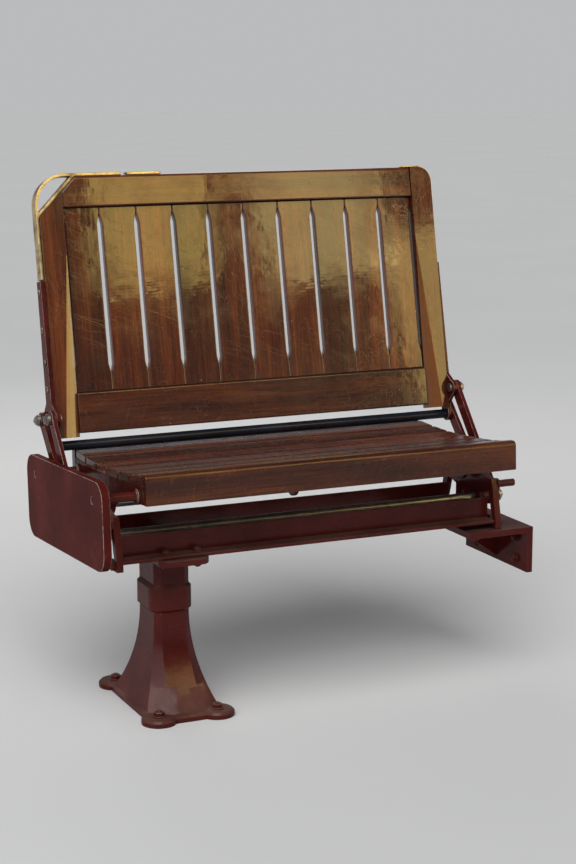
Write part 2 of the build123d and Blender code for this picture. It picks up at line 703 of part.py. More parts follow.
def seat_slats():
    inner = PAN_DEPTH / 2 - APRON_THICKNESS
    pitch = (2 * inner - SEAT_SLAT_GAP) / SEAT_SLAT_COUNT
    width = pitch - SEAT_SLAT_GAP
    slats = Part()
    for index in range(SEAT_SLAT_COUNT):
        y = -inner + SEAT_SLAT_GAP + width / 2 + pitch * index
        slope = math.degrees(math.atan(2 * PAN_DISH * y / (PAN_DEPTH / 2) ** 2))
        slat = Box(PAN_WALL_X - PAN_AISLE_X, width, SEAT_SLAT_THICKNESS)
        slat = chamfer(slat.edges().filter_by(Axis.X).group_by(Axis.Z)[-1], SEAT_SLAT_CHAMFER)
        z = PAN_TOP - dish_drop(y) - SEAT_SLAT_THICKNESS / 2
        slats += Pos(MIDDLE_X, y, z) * Rotation(slope, 0, 0) * slat
    return slats


def apron():
    y_out = -PAN_DEPTH / 2
    bar = block(PAN_AISLE_X, PAN_WALL_X, y_out, y_out + APRON_THICKNESS, PAN_TOP - APRON_HEIGHT, PAN_TOP)
    edge = bar.edges().filter_by(Axis.X).group_by(Axis.Z)[-1].sort_by(Axis.Y)[0]
    return fillet(edge, APRON_ROUNDING)


def pan_rib(x_low, x_high):
    """A rib under the slats, hung on the rocking shaft by a waisted web."""
    inner = PAN_DEPTH / 2 - APRON_THICKNESS
    under = PAN_TOP - SEAT_SLAT_THICKNESS - SLAT_SEAT_GAP
    end_z = under - dish_drop(inner)
    middle_z = under - dish_drop(0)
    rim = ThreePointArc((-inner, end_z), (0, middle_z), (inner, end_z))
    low_z = middle_z - PAN_RIB_DEPTH
    heel_z = PAN_TOP - APRON_HEIGHT
    right = (
        (inner, end_z),
        (inner, heel_z),
        (inner - PAN_RIB_HEEL, heel_z),
        (PAN_WEB_SPREAD, low_z),
        (PAN_WEB_HALF_WIDTH, PAN_WEB_LOW),
    )
    left = [(-y, z) for y, z in reversed(right)]
    outline = rim + Polyline(*right, *left)
    shape = make_face(outline) + Circle(PAN_HUB_RADIUS)
    shape -= Circle(PAN_SHAFT_RADIUS + PIN_CLEARANCE)
    return slab(shape, x_low, x_high)


front_apron = apron()
rear_apron = front_apron.mirror(Plane.XZ)
pieces["apron_front"] = in_pan(front_apron)
pieces["apron_rear"] = in_pan(rear_apron)
pieces["seat_slats"] = in_pan(seat_slats())
both_ends("pan_end", in_pan(pan_rib(PAN_AISLE_X, PAN_AISLE_X + PAN_RIB_THICKNESS)))
half_rib = PAN_RIB_THICKNESS / 2
pieces["pan_rib_middle"] = in_pan(pan_rib(MIDDLE_X - half_rib, MIDDLE_X + half_rib))


# Cover plate: a tray with its rim turned in, screwed to stand-offs from the pan's end
def cover_plate():
    sketch = Pos(0, COVER_CENTRE_Z) * RectangleRounded(COVER_LENGTH, COVER_HEIGHT, COVER_CORNER_RADIUS)
    inside = Pos(0, COVER_CENTRE_Z) * RectangleRounded(
        COVER_LENGTH - 2 * COVER_THICKNESS,
        COVER_HEIGHT - 2 * COVER_THICKNESS,
        COVER_CORNER_RADIUS - COVER_THICKNESS,
    )
    tray = slab(sketch, COVER_OUT, COVER_IN) + slab(sketch - inside, COVER_IN, COVER_RIM_IN)
    for y in (-STANDOFF_Y, STANDOFF_Y):
        sink = Cone(COVER_SCREW_RADIUS, COVER_SCREW_RADIUS - COVER_SCREW_SINK, COVER_SCREW_SINK)
        tray -= Pos(COVER_OUT + COVER_SCREW_SINK / 2, y, STANDOFF_Z) * Rotation(0, 90, 0) * sink
    return tray


def cover_standoffs():
    posts = Part()
    for y in (-STANDOFF_Y, STANDOFF_Y):
        posts += rod(COVER_IN, PAN_AISLE_X, STANDOFF_RADIUS, y, STANDOFF_Z)
        for x in (COVER_IN, PAN_AISLE_X - STANDOFF_COLLAR_LENGTH):
            posts += rod(x, x + STANDOFF_COLLAR_LENGTH, STANDOFF_RADIUS + STANDOFF_COLLAR, y, STANDOFF_Z)
    return posts


pieces["cover_plate"] = in_pan(cover_plate())
pieces["cover_standoffs"] = in_pan(cover_standoffs())

os.makedirs("parts", exist_ok=True)
for name, shape in pieces.items():
    export_step(shape, f"parts/{name}.step")
arm_reach = (ARM_TOP[0] - ARM_BASE[0], ARM_TOP[1] - ARM_BASE[1])
link_reach = (LINK_TOP[0] - LINK_BASE[0], LINK_TOP[1] - LINK_BASE[1])
arm_angle = math.degrees(math.atan2(*arm_reach))
link_angle = math.degrees(math.atan2(*link_reach))
print("arm pivot", ARM_BASE, "link pivot", LINK_BASE, "arm top", ARM_TOP, "link top", LINK_TOP)
print("arm length", math.hypot(*arm_reach), "swing", arm_angle + link_angle)
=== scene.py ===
"""Finishes and fittings of a reversible slatted tram seat: varnished wood, rubbed brass, painted iron."""

import json
import math
import random

import bmesh
import bpy
from bpy.props import FloatProperty, FloatVectorProperty, IntProperty, PointerProperty
from mathutils import Matrix, Vector


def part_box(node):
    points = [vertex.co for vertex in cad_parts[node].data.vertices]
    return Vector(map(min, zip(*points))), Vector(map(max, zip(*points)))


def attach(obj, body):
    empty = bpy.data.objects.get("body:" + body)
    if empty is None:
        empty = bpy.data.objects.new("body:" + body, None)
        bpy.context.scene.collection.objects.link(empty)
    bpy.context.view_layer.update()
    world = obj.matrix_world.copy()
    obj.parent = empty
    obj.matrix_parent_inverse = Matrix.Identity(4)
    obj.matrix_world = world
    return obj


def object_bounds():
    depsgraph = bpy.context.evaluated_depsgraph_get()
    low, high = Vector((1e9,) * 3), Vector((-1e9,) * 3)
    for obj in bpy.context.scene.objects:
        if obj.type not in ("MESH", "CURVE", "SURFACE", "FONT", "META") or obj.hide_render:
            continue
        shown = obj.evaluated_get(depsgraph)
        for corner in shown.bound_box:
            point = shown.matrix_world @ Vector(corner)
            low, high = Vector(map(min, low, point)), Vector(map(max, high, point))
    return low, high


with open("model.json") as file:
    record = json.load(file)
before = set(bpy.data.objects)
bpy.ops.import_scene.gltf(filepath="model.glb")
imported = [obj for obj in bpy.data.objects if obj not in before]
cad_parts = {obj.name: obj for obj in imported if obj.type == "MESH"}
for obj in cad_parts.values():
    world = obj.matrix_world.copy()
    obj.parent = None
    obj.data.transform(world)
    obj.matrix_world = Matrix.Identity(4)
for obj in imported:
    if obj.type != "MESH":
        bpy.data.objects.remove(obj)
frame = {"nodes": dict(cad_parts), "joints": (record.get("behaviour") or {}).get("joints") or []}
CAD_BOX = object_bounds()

bl_info = {
    "name": "Reversible tram seat",
    "version": (1, 0, 0),
    "blender": (4, 5, 0),
    "location": "View3D > Sidebar > Tram seat",
    "description": "Wood, brass and ironwork of a walk-over seat for two",
    "category": "Object",
}

# The seat's own axes, in metres and radians. The lean and the tilt are those at rest
JOINTS = {joint["name"]: joint for joint in frame["joints"]}
BACK_LEAN = math.radians(11.5)
PAN_TILT = math.radians(3.3)
HALF_KNUCKLE = 0.030  # from the knuckle line to each of the two knuckle pins
UP_THE_BACK = Vector((0, math.sin(BACK_LEAN), math.cos(BACK_LEAN)))
TO_PASSENGER = Vector((0, -math.cos(BACK_LEAN), math.sin(BACK_LEAN)))
ACROSS = Vector((1, 0, 0))
KNUCKLE = Vector(JOINTS["back_hinge"]["pos_m"]) - HALF_KNUCKLE * TO_PASSENGER
PAN_SHAFT = Vector(JOINTS["pan_rock"]["pos_m"])
AISLE_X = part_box("stile_aisle")[0].x
WALL_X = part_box("stile_wall")[1].x
MIDDLE_X = (AISLE_X + WALL_X) / 2
TOP_OF_BACK = 0.447  # above the knuckle line
CORNER_CUT = 0.075  # along each edge of the back's corner at the aisle
BACK_SLATS = [f"back_slat_{number:02d}" for number in range(1, 11)]
SUNK = 0.0003  # how deep a fitting's underside lies in what it holds

# Turns that bring each board's grain onto the texture's Z axis
GRAIN_UP_THE_BACK = (BACK_LEAN, 0, 0)
GRAIN_ALONG_RAIL = (BACK_LEAN, -math.pi / 2, 0)
GRAIN_ALONG_PAN = (-PAN_TILT, -math.pi / 2, 0)

# How the textures are drawn out. Wood grain: twice across the board, then along it
WANDER = (7, 7, 1.6)
RIBBONS = (1, 1, 0.05)
BROAD_FIGURE = (24, 24, 3.5)
STREAKS = (210, 210, 6)
HAIRS = (820, 820, 18)
PORES = (1500, 1500, 65)
# The painter's brush marks run upwards, and the lathe's marks round the shafts
BRUSH_MARKS = (150, 150, 24)
TURNING_MARKS = (1400, 60, 60)

# Colours of dirt darkened with painted shade in corners, and of bare metal, in the small places where no look
# sets them
GRIME_AND_SHADE_IN_WOOD = (0.018, 0.008, 0.005)
GRIME_AND_SHADE_ON_PAINT = (0.016, 0.010, 0.008)
CHIPPED_IRON = (0.055, 0.047, 0.043)

# How the pieces' own shapes are cleaned before their edges are rounded, in metres and radians
FACE_JOIN = 0.00002
FLAT_WITHIN = math.radians(0.4)
ROUNDED_FROM = math.radians(34)
SLIVER_JOIN = 0.000003
FACET_BEND = math.radians(11)
FACET_BEND_SPREAD = math.radians(5)

DOWN = Vector((0, 0, -1))
UP = Vector((0, 0, 1))


def on_back(x, up, forward):
    """A point in the back's own axes, measured from the knuckle line."""
    return Vector((x, 0, 0)) + KNUCKLE + UP_THE_BACK * up + TO_PASSENGER * forward


def pan_direction(x, y, z):
    """A direction in the pan's own axes, which tilt with it."""
    return Matrix.Rotation(-PAN_TILT, 3, "X") @ Vector((x, y, z))


def on_pan(x, y, z):
    """A point in the pan's own axes, measured from its rocking shaft."""
    return PAN_SHAFT + pan_direction(x, y, z)


def both_ends(x):
    """A place at the aisle end and its match at the wall end, each with its outward direction."""
    return (x, -ACROSS), (2 * MIDDLE_X - x, ACROSS)


def colour(name, description, default):
    return FloatVectorProperty(
        name=name, description=description, subtype="COLOR", size=3, min=0, max=1, default=default
    )


def length(name, description, default):
    return FloatProperty(
        name=name, description=description, subtype="DISTANCE", unit="LENGTH", min=0, default=default
    )


def share(name, description, default):
    return FloatProperty(name=name, description=description, subtype="FACTOR", min=0, max=1, default=default)


def turn(name, description, degrees):
    return FloatProperty(name=name, description=description, subtype="ANGLE", default=math.radians(degrees))


def brightness(name, description, default):
    return FloatProperty(name=name, description=description, min=0, default=default)


class WoodLook(bpy.types.PropertyGroup):
    """Varnished mahogany of the back and the seat"""

    dark: colour("Dark grain", "Colour of the late wood and the ribbons in shade", (0.021, 0.0037, 0.0016))
    middle: colour("Middle tone", "Colour over most of a board", (0.071, 0.0130, 0.0031))
    light: colour("Light grain", "Colour of the light ribbons", (0.195, 0.047, 0.0087))
    golden: colour("Aged varnish", "Golden cast where the varnish is thick", (0.33, 0.130, 0.022))
    bare: colour("Bare wood", "Wood that shows in nicks and along rubbed edges", (0.50, 0.27, 0.12))
    # Painted reflection: a golden colour laid on the stiles' bullnose facets in place of a lamp's glint
    rubbed: colour("Bullnose glint", "Golden glint painted on the stiles' bullnose", (0.24, 0.082, 0.012))
    variation: share("Board to board", "How far the boards differ in tone", 0.30)
    roughness: share("Varnish roughness", "Roughness of the clean varnish", 0.26)
    arris: length("Rounded edge", "Radius of the boards' rubbed edges", 0.0022)


class PaintLook(bpy.types.PropertyGroup):
    """Gloss paint of the ironwork"""

    maroon: colour("Maroon", "Colour of the gloss paint", (0.074, 0.0092, 0.0068))
    worn: colour("Worn paint", "Rubbed paint and primer along the edges", (0.22, 0.085, 0.060))
    bare: colour("Bare iron", "Iron that shows along the edges that clothes rub", (0.36, 0.31, 0.26))
    dust: colour("Dust", "Floor dust that lies on ledges and round the foot", (0.23, 0.185, 0.14))
    blue_black: colour("Tie bar", "Dark enamel of the back's tie bar", (0.010, 0.012, 0.019))
    roughness: share("Paint roughness", "Roughness of the clean paint", 0.24)
    arris: length("Rounded edge", "Radius left on the castings' edges by the paint", 0.0013)


class MetalLook(bpy.types.PropertyGroup):
    """Brass trim and steel shafts"""

    brass: colour("Brass", "Hand-rubbed brass", (0.60, 0.465, 0.245))
    tarnish: colour("Tarnish", "Brown film where hands do not reach", (0.20, 0.135, 0.060))
    steel: colour("Steel", "Oiled shafts and pins", (0.30, 0.285, 0.265))
    rust: colour("Rust", "Thin rust between the oiled patches", (0.115, 0.047, 0.022))
    roughness: share("Brass roughness", "Roughness of the rubbed brass", 0.30)
    arris: length("Rounded edge", "Radius of the strap's edges", 0.0010)


class FittingSizes(bpy.types.PropertyGroup):
    """Screws and bolts"""

    screw: length("Brass screw", "Radius of the countersunk screws in the brass", 0.0042)
    seat_screw: length("Seat screw", "Radius of the screws that hold the seat slats", 0.0032)
    iron_screw: length("Iron screw", "Radius of the round heads that hold the side irons", 0.0062)
    bolt: length("Bolt", "Half the width across a hexagon head's corners", 0.0098)
    washer: length("Washer", "Radius of a bolt's washer", 0.0120)
    segments: IntProperty(name="Segments", description="Flats round a turned head", min=8, max=64, default=24)


class StudioLook(bpy.types.PropertyGroup):
    """Floor, light and camera"""

    floor: colour("Floor", "Pale studio floor", (0.64, 0.635, 0.625))
    horizon: colour("Horizon", "Pale surroundings low down", (0.495, 0.500, 0.506))
    overhead: colour("Overhead", "Dimmer surroundings higher up", (0.115, 0.125, 0.145))
    sun: brightness("Overhead light", "Strength of the soft top light", 2.7)
    golden: brightness("Front light", "Brightness of the golden panels in front", 4.8)
    side: brightness("Side light", "Brightness of the golden panel on the wall side", 4.4)
    fill: brightness("Aisle light", "Brightness of the aisle and rear panels", 2.1)
    azimuth: turn("Azimuth", "Direction from the seat to the camera, from straight ahead", -24.5)
    elevation: turn("Elevation", "Height of the camera above the seat's middle", 11.0)
    distance: length("Distance", "From the camera to the seat", 3.6)
    lens: FloatProperty(name="Lens", description="Focal length in millimetres", min=1, default=80.0)


class Nodes:
    """A node tree, with short calls that add a node and set or link its inputs."""

    def __init__(self, tree):
        self.tree = tree

    def add(self, kind, inputs=None, **settings):
        made = self.tree.nodes.new(kind)
        for name, value in settings.items():
            setattr(made, name, value)
        for socket, value in (inputs or {}).items():
            self.put(made.inputs[socket], value)
        return made

    def put(self, socket, value):
        if isinstance(value, bpy.types.NodeSocket):
            self.tree.links.new(value, socket)
        else:
            socket.default_value = value

    def part(self, vector, axis):
        return self.add("ShaderNodeSeparateXYZ", {"Vector": vector}).outputs[axis]

    def ramp(self, value, *stops, blend="LINEAR"):
        """Colours between (position, colour) stops."""
        made = self.add("ShaderNodeValToRGB", {"Fac": value})
        made.color_ramp.interpolation = blend
        bands = made.color_ramp.elements
        bands[0].position, bands[0].color = stops[0][0], solid(stops[0][1])
        bands[1].position, bands[1].color = stops[-1][0], solid(stops[-1][1])
        for position, tone in stops[1:-1]:
            bands.new(position).color = solid(tone)
        return made.outputs["Color"]


class Finish(Nodes):
    """A node material, with short calls for the nodes that these finishes share."""

    def __init__(self, name):
        self.material = bpy.data.materials.new(name)
        self.material.use_nodes = True
        super().__init__(self.material.node_tree)
        self.shader = self.tree.nodes["Principled BSDF"]
        self.place = self.add("ShaderNodeTexCoord").outputs["Object"]

    def maths(self, operation, first, second=0.0):
        return self.add("ShaderNodeMath", {0: first, 1: second}, operation=operation).outputs[0]

    def times(self, first, second):
        return self.maths("MULTIPLY", first, second)

    def plus(self, first, second):
        return self.maths("ADD", first, second)

    def turned(self, vector, scale=(1, 1, 1), rotation=(0, 0, 0), location=(0, 0, 0)):
        inputs = {"Vector": vector, "Scale": scale, "Rotation": rotation, "Location": location}
        return self.add("ShaderNodeMapping", inputs).outputs[0]

    def noise(self, vector, scale=1.0, detail=2.0, roughness=0.5, output=0):
        """Soft clouds between 0 and 1; output 1 is their three-part colour."""
        inputs = {"Vector": vector, "Scale": scale, "Detail": detail, "Roughness": roughness}
        return self.add("ShaderNodeTexNoise", inputs).outputs[output]

    def clouds(self, scale, detail=2.0, roughness=0.5):
        """Soft clouds over the piece, in its own axes."""
        return self.noise(self.place, scale, detail, roughness)

    def drawn_out(self, vector, stretch, detail, roughness=0.5):
        """Soft clouds drawn out into streaks."""
        return self.noise(self.turned(vector, scale=stretch), 1.0, detail, roughness)

    def step(self, value, low, high, bottom=0.0, top=1.0):
        """Smoothly from bottom to top as value goes from low to high."""
        inputs = {"Value": value, "From Min": low, "From Max": high, "To Min": bottom, "To Max": top}
        return self.add("ShaderNodeMapRange", inputs, interpolation_type="SMOOTHSTEP").outputs[0]

    def mix(self, factor, first, second, blend="MIX"):
        made = self.add("ShaderNodeMix", data_type="RGBA", blend_type=blend)
        self.put(made.inputs[0], factor)
        self.put(made.inputs[6], solid(first))
        self.put(made.inputs[7], solid(second))
        return made.outputs[2]

    def contour(self, value, level, width):
        """1 along the line where value crosses level, 0 beside it."""
        away = self.maths("ABSOLUTE", self.maths("SUBTRACT", value, level))
        return self.step(away, 0.0, width, 1.0, 0.0)

    def swirls(self, scale, width, amount):
        """Short curved scratches, such as cleaning leaves in varnish and paint."""
        loops = self.contour(self.clouds(scale, 1.0), 0.5, width)
        where = self.step(self.clouds(scale * 0.7), 1 - amount, 1.03 - amount)
        return self.times(loops, where)

    def drags(self, vector, across, turns, width, amount):
        """Long fine scratches that lie a few ways, each broken off here and there."""
        total = 0.0
        for number, rotation in enumerate(turns):
            lying = self.turned(vector, rotation=rotation, location=(number * 3.1, number * 1.7, 0))
            lines = self.drawn_out(lying, (across, across, across * 0.03), 1.0)
            where = self.step(self.noise(lying, across * 0.12), 1 - amount, 1.04 - amount)
            total = self.maths("MAXIMUM", total, self.times(self.contour(lines, 0.5, width), where))
        return total

    def specks(self, scale, size, amount):
        """Scattered dots, each in its own cell."""
        cells = self.add("ShaderNodeTexVoronoi", {"Vector": self.place, "Scale": scale})
        red = self.add("ShaderNodeSeparateColor", {"Color": cells.outputs["Color"]}).outputs[0]
        chosen = self.step(red, 1 - amount, 1.001 - amount)
        dots = self.step(cells.outputs["Distance"], size * 0.5, size, 1.0, 0.0)
        return self.times(dots, chosen)

    def edges(self, radius):
        """1 on an outer edge of the piece, 0 on its faces."""
        rounded = self.add("ShaderNodeBevel", {"Radius": radius}, samples=6).outputs[0]
        flat = self.add("ShaderNodeNewGeometry").outputs["Normal"]
        along = self.add("ShaderNodeVectorMath", {0: rounded, 1: flat}, operation="DOT_PRODUCT")
        return self.step(self.maths("SUBTRACT", 1.0, along.outputs["Value"]), 0.03, 0.30)

    def facing(self, axis):
        """How far the surface faces along X, Y or Z, -1 to 1."""
        return self.part(self.add("ShaderNodeTexCoord").outputs["Normal"], axis)

    def rim(self):
        """1 along the rounded edges of a plate whose faces look along X, 0 on its faces."""
        squared = self.maths("POWER", self.maths("ABSOLUTE", self.facing("X")), 2.0)
        return self.step(self.times(squared, self.maths("SUBTRACT", 1.0, squared)), 0.03, 0.12)

    def bullnose(self):
        """1 on the long facets that slope off a stile's face, 0 on the face and the sides."""
        across = self.maths("ABSOLUTE", self.facing("X"))
        return self.times(self.step(across, 0.07, 0.20), self.step(across, 0.58, 0.72, 1.0, 0.0))

    def crevices(self, distance, low=0.35, high=0.9):
        """1 deep in a corner, 0 in the open."""
        shade = self.add("ShaderNodeAmbientOcclusion", {"Distance": distance}, samples=6)
        return self.step(shade.outputs["AO"], low, high, 1.0, 0.0)

    def relief(self, *layers):
        """Lays (height, its depth in metres, strength) layers one over the other."""
        under = {}
        for height, depth, strength in layers:
            inputs = {"Height": height, "Distance": depth, "Strength": strength, **under}
            under = {"Normal": self.add("ShaderNodeBump", inputs).outputs[0]}
        return under["Normal"]

    def done(self, **sockets):
        """Sets the shader's own sockets and returns the material."""
        for name, value in sockets.items():
            self.put(self.shader.inputs[name.replace("_", " ")], value)
        return self.material


def solid(value):
    """A plain colour with full opacity, or a node's output as it is."""
    if isinstance(value, bpy.types.NodeSocket):
        return value
    return (*value[:3], 1.0)


def mahogany(name, look, grain, tone=None, row=None, polish=1.0, bullnose_glint=0.0):
    """Varnished mahogany; the name sets each board's own tone and its own stretch of grain.

    Where one piece is a row of boards, row holds the place of the first one's edge and the spacing.
    A polish below 1 is varnish that clothes have rubbed dull; the last argument sets how strongly a golden
    reflection is painted onto a stile's bullnose.
    """
    chance = random.Random(name)
    if tone is None:
        tone = chance.uniform(-1, 1)
    tone = 1 + tone * look.variation
    golden = chance.uniform(0.15, 0.75)
    shift = [chance.uniform(-5, 5) for _ in range(3)]
    finish = Finish(name)
    board = finish.turned(finish.place, rotation=grain, location=shift)
    if row:
        first, spacing = row
        from_first = finish.maths("SUBTRACT", finish.part(finish.place, "Y"), first)
        number = finish.maths("FLOOR", finish.maths("DIVIDE", from_first, spacing))
        own = finish.add("ShaderNodeTexWhiteNoise", {"W": number}, noise_dimensions="1D").outputs[0]
        tone = finish.step(own, 0.0, 1.0, 1 - look.variation, tone)
        apart = finish.add("ShaderNodeCombineXYZ", {"Z": finish.times(own, 9.0)}).outputs[0]
        board = finish.add("ShaderNodeVectorMath", {0: board, 1: apart}, operation="ADD").outputs[0]

    # Grain lines wander slowly along the board
    wander = finish.noise(finish.turned(board, scale=WANDER), output=1)
    bent = finish.add(
        "ShaderNodeVectorMath", {0: wander, 1: (0.035, 0.035, 0.0), 2: board}, operation="MULTIPLY_ADD"
    ).outputs[0]
    ribbons = finish.add(
        "ShaderNodeTexWave",
        {
            "Vector": finish.turned(bent, scale=RIBBONS),
            "Scale": chance.uniform(5, 8),
            "Distortion": 9.0,
            "Detail": 3.0,
            "Detail Scale": 2.2,
            "Detail Roughness": 0.62,
        },
    ).outputs[1]
    streaks = finish.drawn_out(bent, STREAKS, 3.0, 0.6)
    hairs = finish.drawn_out(bent, HAIRS, 2.0, 0.6)
    broad = finish.drawn_out(bent, BROAD_FIGURE, 2.0)
    pores = finish.step(finish.drawn_out(bent, PORES, 1.0), 0.60, 0.70)
    figure = finish.times(ribbons, 0.08)
    for layer, weight in ((streaks, 0.40), (hairs, 0.24), (broad, 0.45)):
        figure = finish.plus(figure, finish.times(layer, weight))
    tint = finish.ramp(figure, (0.40, look.dark), (0.58, look.middle), (0.80, look.light))
    thick = finish.step(finish.noise(board, 5.0), 0.38, 0.72, 0.0, golden)
    tint = finish.mix(thick, tint, finish.mix(0.8, tint, look.golden, "OVERLAY"))
    tint = finish.mix(finish.times(pores, 0.55), tint, look.dark)
    tint = finish.add("ShaderNodeHueSaturation", {"Color": tint, "Value": tone}).outputs[0]
    # Painted reflection: the stiles' bullnose facets take a golden colour that stands in for a lamp's glint
    if bullnose_glint > 0:
        tint = finish.mix(finish.times(finish.bullnose(), bullnose_glint), tint, look.rubbed)

    # Wear: nicks, rubbed edges, grime darkened with painted shade in the corners, fine scratches in the
    # varnish
    nicks = finish.specks(55.0, 0.075, 0.10)
    patchy = finish.step(finish.clouds(38.0, 4.0, 0.65), 0.48, 0.66)
    rubbed = finish.times(finish.edges(0.0022), patchy)
    tint = finish.mix(finish.maths("MAXIMUM", finish.times(rubbed, 0.50), nicks), tint, look.bare)
    # Painted shade with grime: corners darkened by ambient occlusion, where grime also gathers
    grime_and_shade = finish.crevices(0.007)
    tint = finish.mix(finish.times(grime_and_shade, 0.75), tint, GRIME_AND_SHADE_IN_WOOD)
    swirls = finish.swirls(34.0, 0.007, 0.42)
    drags = finish.drags(board, 60.0, ((0.5, 0.3, 0), (-0.9, 0.2, 0), (0.15, 1.2, 0)), 0.006, 0.50)
    marks = finish.maths("MAXIMUM", swirls, drags)
    tint = finish.mix(finish.times(marks, 0.07), tint, look.bare)

    smudges = finish.clouds(14.0, 4.0, 0.62)
    roughness = finish.step(smudges, 0.30, 0.75, look.roughness * 0.8, look.roughness * 1.4)
    roughness = finish.plus(roughness, finish.times(marks, 0.22))
    roughness = finish.plus(roughness, finish.times(grime_and_shade, 0.30))

    # Height: varnish sunk into the grain, planer ripple across it, brush marks, scratches and nibs
    ripple = finish.add(
        "ShaderNodeTexWave",
        {"Vector": board, "Scale": 52.0, "Distortion": 5.0, "Detail": 2.0, "Detail Scale": 0.5},
        bands_direction="Z",
    ).outputs[1]
    sunk = finish.maths("SUBTRACT", finish.plus(streaks, finish.times(hairs, 0.7)), pores)
    scratches = finish.times(marks, -1.0)
    nibs = finish.specks(70.0, 0.05, 0.12)
    relief = finish.relief(
        (sunk, 0.00022, 0.55),
        (ripple, 0.00010, 0.35),
        (finish.clouds(75.0), 0.0007, 0.30),
        (scratches, 0.00012, 0.5),
        (nibs, 0.0004, 0.8),
    )

    # The topmost varnish flows nearly level over the grain and keeps its ripples, scratches and nibs
    flow = finish.relief(
        (ripple, 0.00005, 0.07),
        (streaks, 0.00010, 0.16),
        (finish.noise(board, 26.0), 0.0012, 0.24),
        (scratches, 0.00006, 0.3),
        (nibs, 0.0004, 0.8),
    )
    gloss = finish.step(smudges, 0.35, 0.75, 0.045 / polish, 0.16 / polish)
    return finish.done(
        Base_Color=tint,
        Roughness=roughness,
        Normal=relief,
        Specular_IOR_Level=0.12,
        Coat_Weight=polish,
        Coat_Roughness=gloss,
        Coat_IOR=1.52,
        Coat_Normal=flow,
    )


def iron_paint(name, look, paint, cast=0.0, dust=0.0, gloss=0.42, bared=0.0):
    """Gloss paint on iron: rubbed along the edges, chipped, and rough where the iron is cast.

    cast is how rough the iron is, dust how much lies on its ledges, gloss how much the paint shines,
    and bared how far the rims of upright plates are rubbed to the iron, each 0 to 1.
    """
    finish = Finish(name)
    patches = finish.clouds(11.0, 3.0)
    faded = [min(1.0, channel * 1.4 + 0.003) for channel in paint]
    deep = [channel * 0.72 for channel in paint]
    tint = finish.ramp(patches, (0.30, deep), (0.52, paint), (0.78, faded))
    ragged = finish.clouds(95.0, 5.0, 0.7)
    edge = finish.edges(0.0021)
    rubbed = finish.times(edge, finish.step(ragged, 0.40, 0.62))
    chips = finish.times(finish.step(edge, 0.05, 0.4), finish.step(ragged, 0.585, 0.615))
    flakes = finish.times(finish.specks(42.0, 0.10, 0.07), finish.step(ragged, 0.42, 0.5))
    chips = finish.maths("MAXIMUM", chips, flakes)
    tint = finish.mix(finish.times(rubbed, 0.65), tint, look.worn)
    tint = finish.mix(chips, tint, CHIPPED_IRON)
    if bared > 0:
        shine = finish.times(finish.rim(), finish.step(ragged, 0.38, 0.58, 0.2 * bared, bared))
        tint = finish.mix(shine, tint, look.bare)
    # Painted shade with grime: the paint darkens in corners by ambient occlusion, where grime also gathers
    tint = finish.mix(finish.times(finish.crevices(0.012), 0.55), tint, GRIME_AND_SHADE_ON_PAINT)
    marks = finish.maths(
        "MAXIMUM",
        finish.swirls(22.0, 0.008, 0.47),
        finish.drags(finish.place, 48.0, ((0.4, 0.9, 0), (1.3, 0.2, 0.5)), 0.006, 0.50),
    )
    tint = finish.mix(finish.times(marks, 0.16), tint, look.worn)
    smudges = finish.clouds(17.0, 4.0, 0.6)
    roughness = finish.step(smudges, 0.3, 0.75, look.roughness * 0.7, look.roughness * 1.8)
    roughness = finish.plus(roughness, finish.times(finish.maths("MAXIMUM", marks, rubbed), 0.2))
    if dust > 0:
        ledges = finish.step(finish.facing("Z"), 0.25, 0.95)
        lying = finish.times(ledges, finish.step(patches, 0.30, 0.70, 0.35 * dust, dust))
        tint = finish.mix(lying, tint, look.dust)
        roughness = finish.plus(roughness, finish.times(lying, 0.45))
    layers = [(finish.drawn_out(finish.place, BRUSH_MARKS, 2.0), 0.0003, 0.35)]
    if cast > 0:
        pitted = finish.clouds(230.0, 4.0, 0.6)
        lumpy = finish.clouds(42.0, 3.0)
        layers += [(pitted, 0.0009 * cast, 0.55), (lumpy, 0.0035 * cast, 0.55)]
    relief = finish.relief(*layers, (finish.times(chips, -1.0), 0.0003, 0.9))
    flow = finish.relief((finish.clouds(36.0, 3.0), 0.0006 + 0.0022 * cast, 0.30))
    return finish.done(
        Base_Color=tint,
        Roughness=roughness,
        Normal=relief,
        Specular_IOR_Level=0.0,
        Coat_Weight=gloss,
        Coat_Roughness=finish.step(ragged, 0.3, 0.7, 0.07 + 0.08 * cast, 0.16 + 0.10 * cast),
        Coat_IOR=1.42,
        Coat_Normal=flow,
    )


def rubbed_brass(name, look):
    """Hand-rubbed brass: bright on its edges, brown in its corners, scratched along its length."""
    finish = Finish(name)
    film = finish.clouds(26.0, 5.0, 0.65)
    bright = [min(1.0, channel * 1.22) for channel in look.brass]
    tint = finish.ramp(film, (0.30, look.tarnish), (0.50, look.brass), (0.72, bright))
    corner = finish.crevices(0.006, 0.3, 0.95)
    brown = [channel * 0.45 for channel in look.tarnish]
    tint = finish.mix(finish.times(corner, 0.8), tint, brown)
    tint = finish.mix(finish.times(finish.edges(0.0014), 0.7), tint, bright)
    lines = finish.drags(finish.place, 130.0, ((0.1, 0.1, 0), (1.45, 0.1, 0), (0.3, 1.4, 0)), 0.012, 0.62)
    roughness = finish.step(film, 0.30, 0.70, look.roughness * 1.7, look.roughness * 0.75)
    roughness = finish.plus(roughness, finish.times(lines, 0.18))
    relief = finish.relief((finish.clouds(60.0), 0.0012, 0.35), (finish.times(lines, -1.0), 0.0002, 0.7))
    return finish.done(Base_Color=tint, Metallic=1.0, Roughness=roughness, Normal=relief)


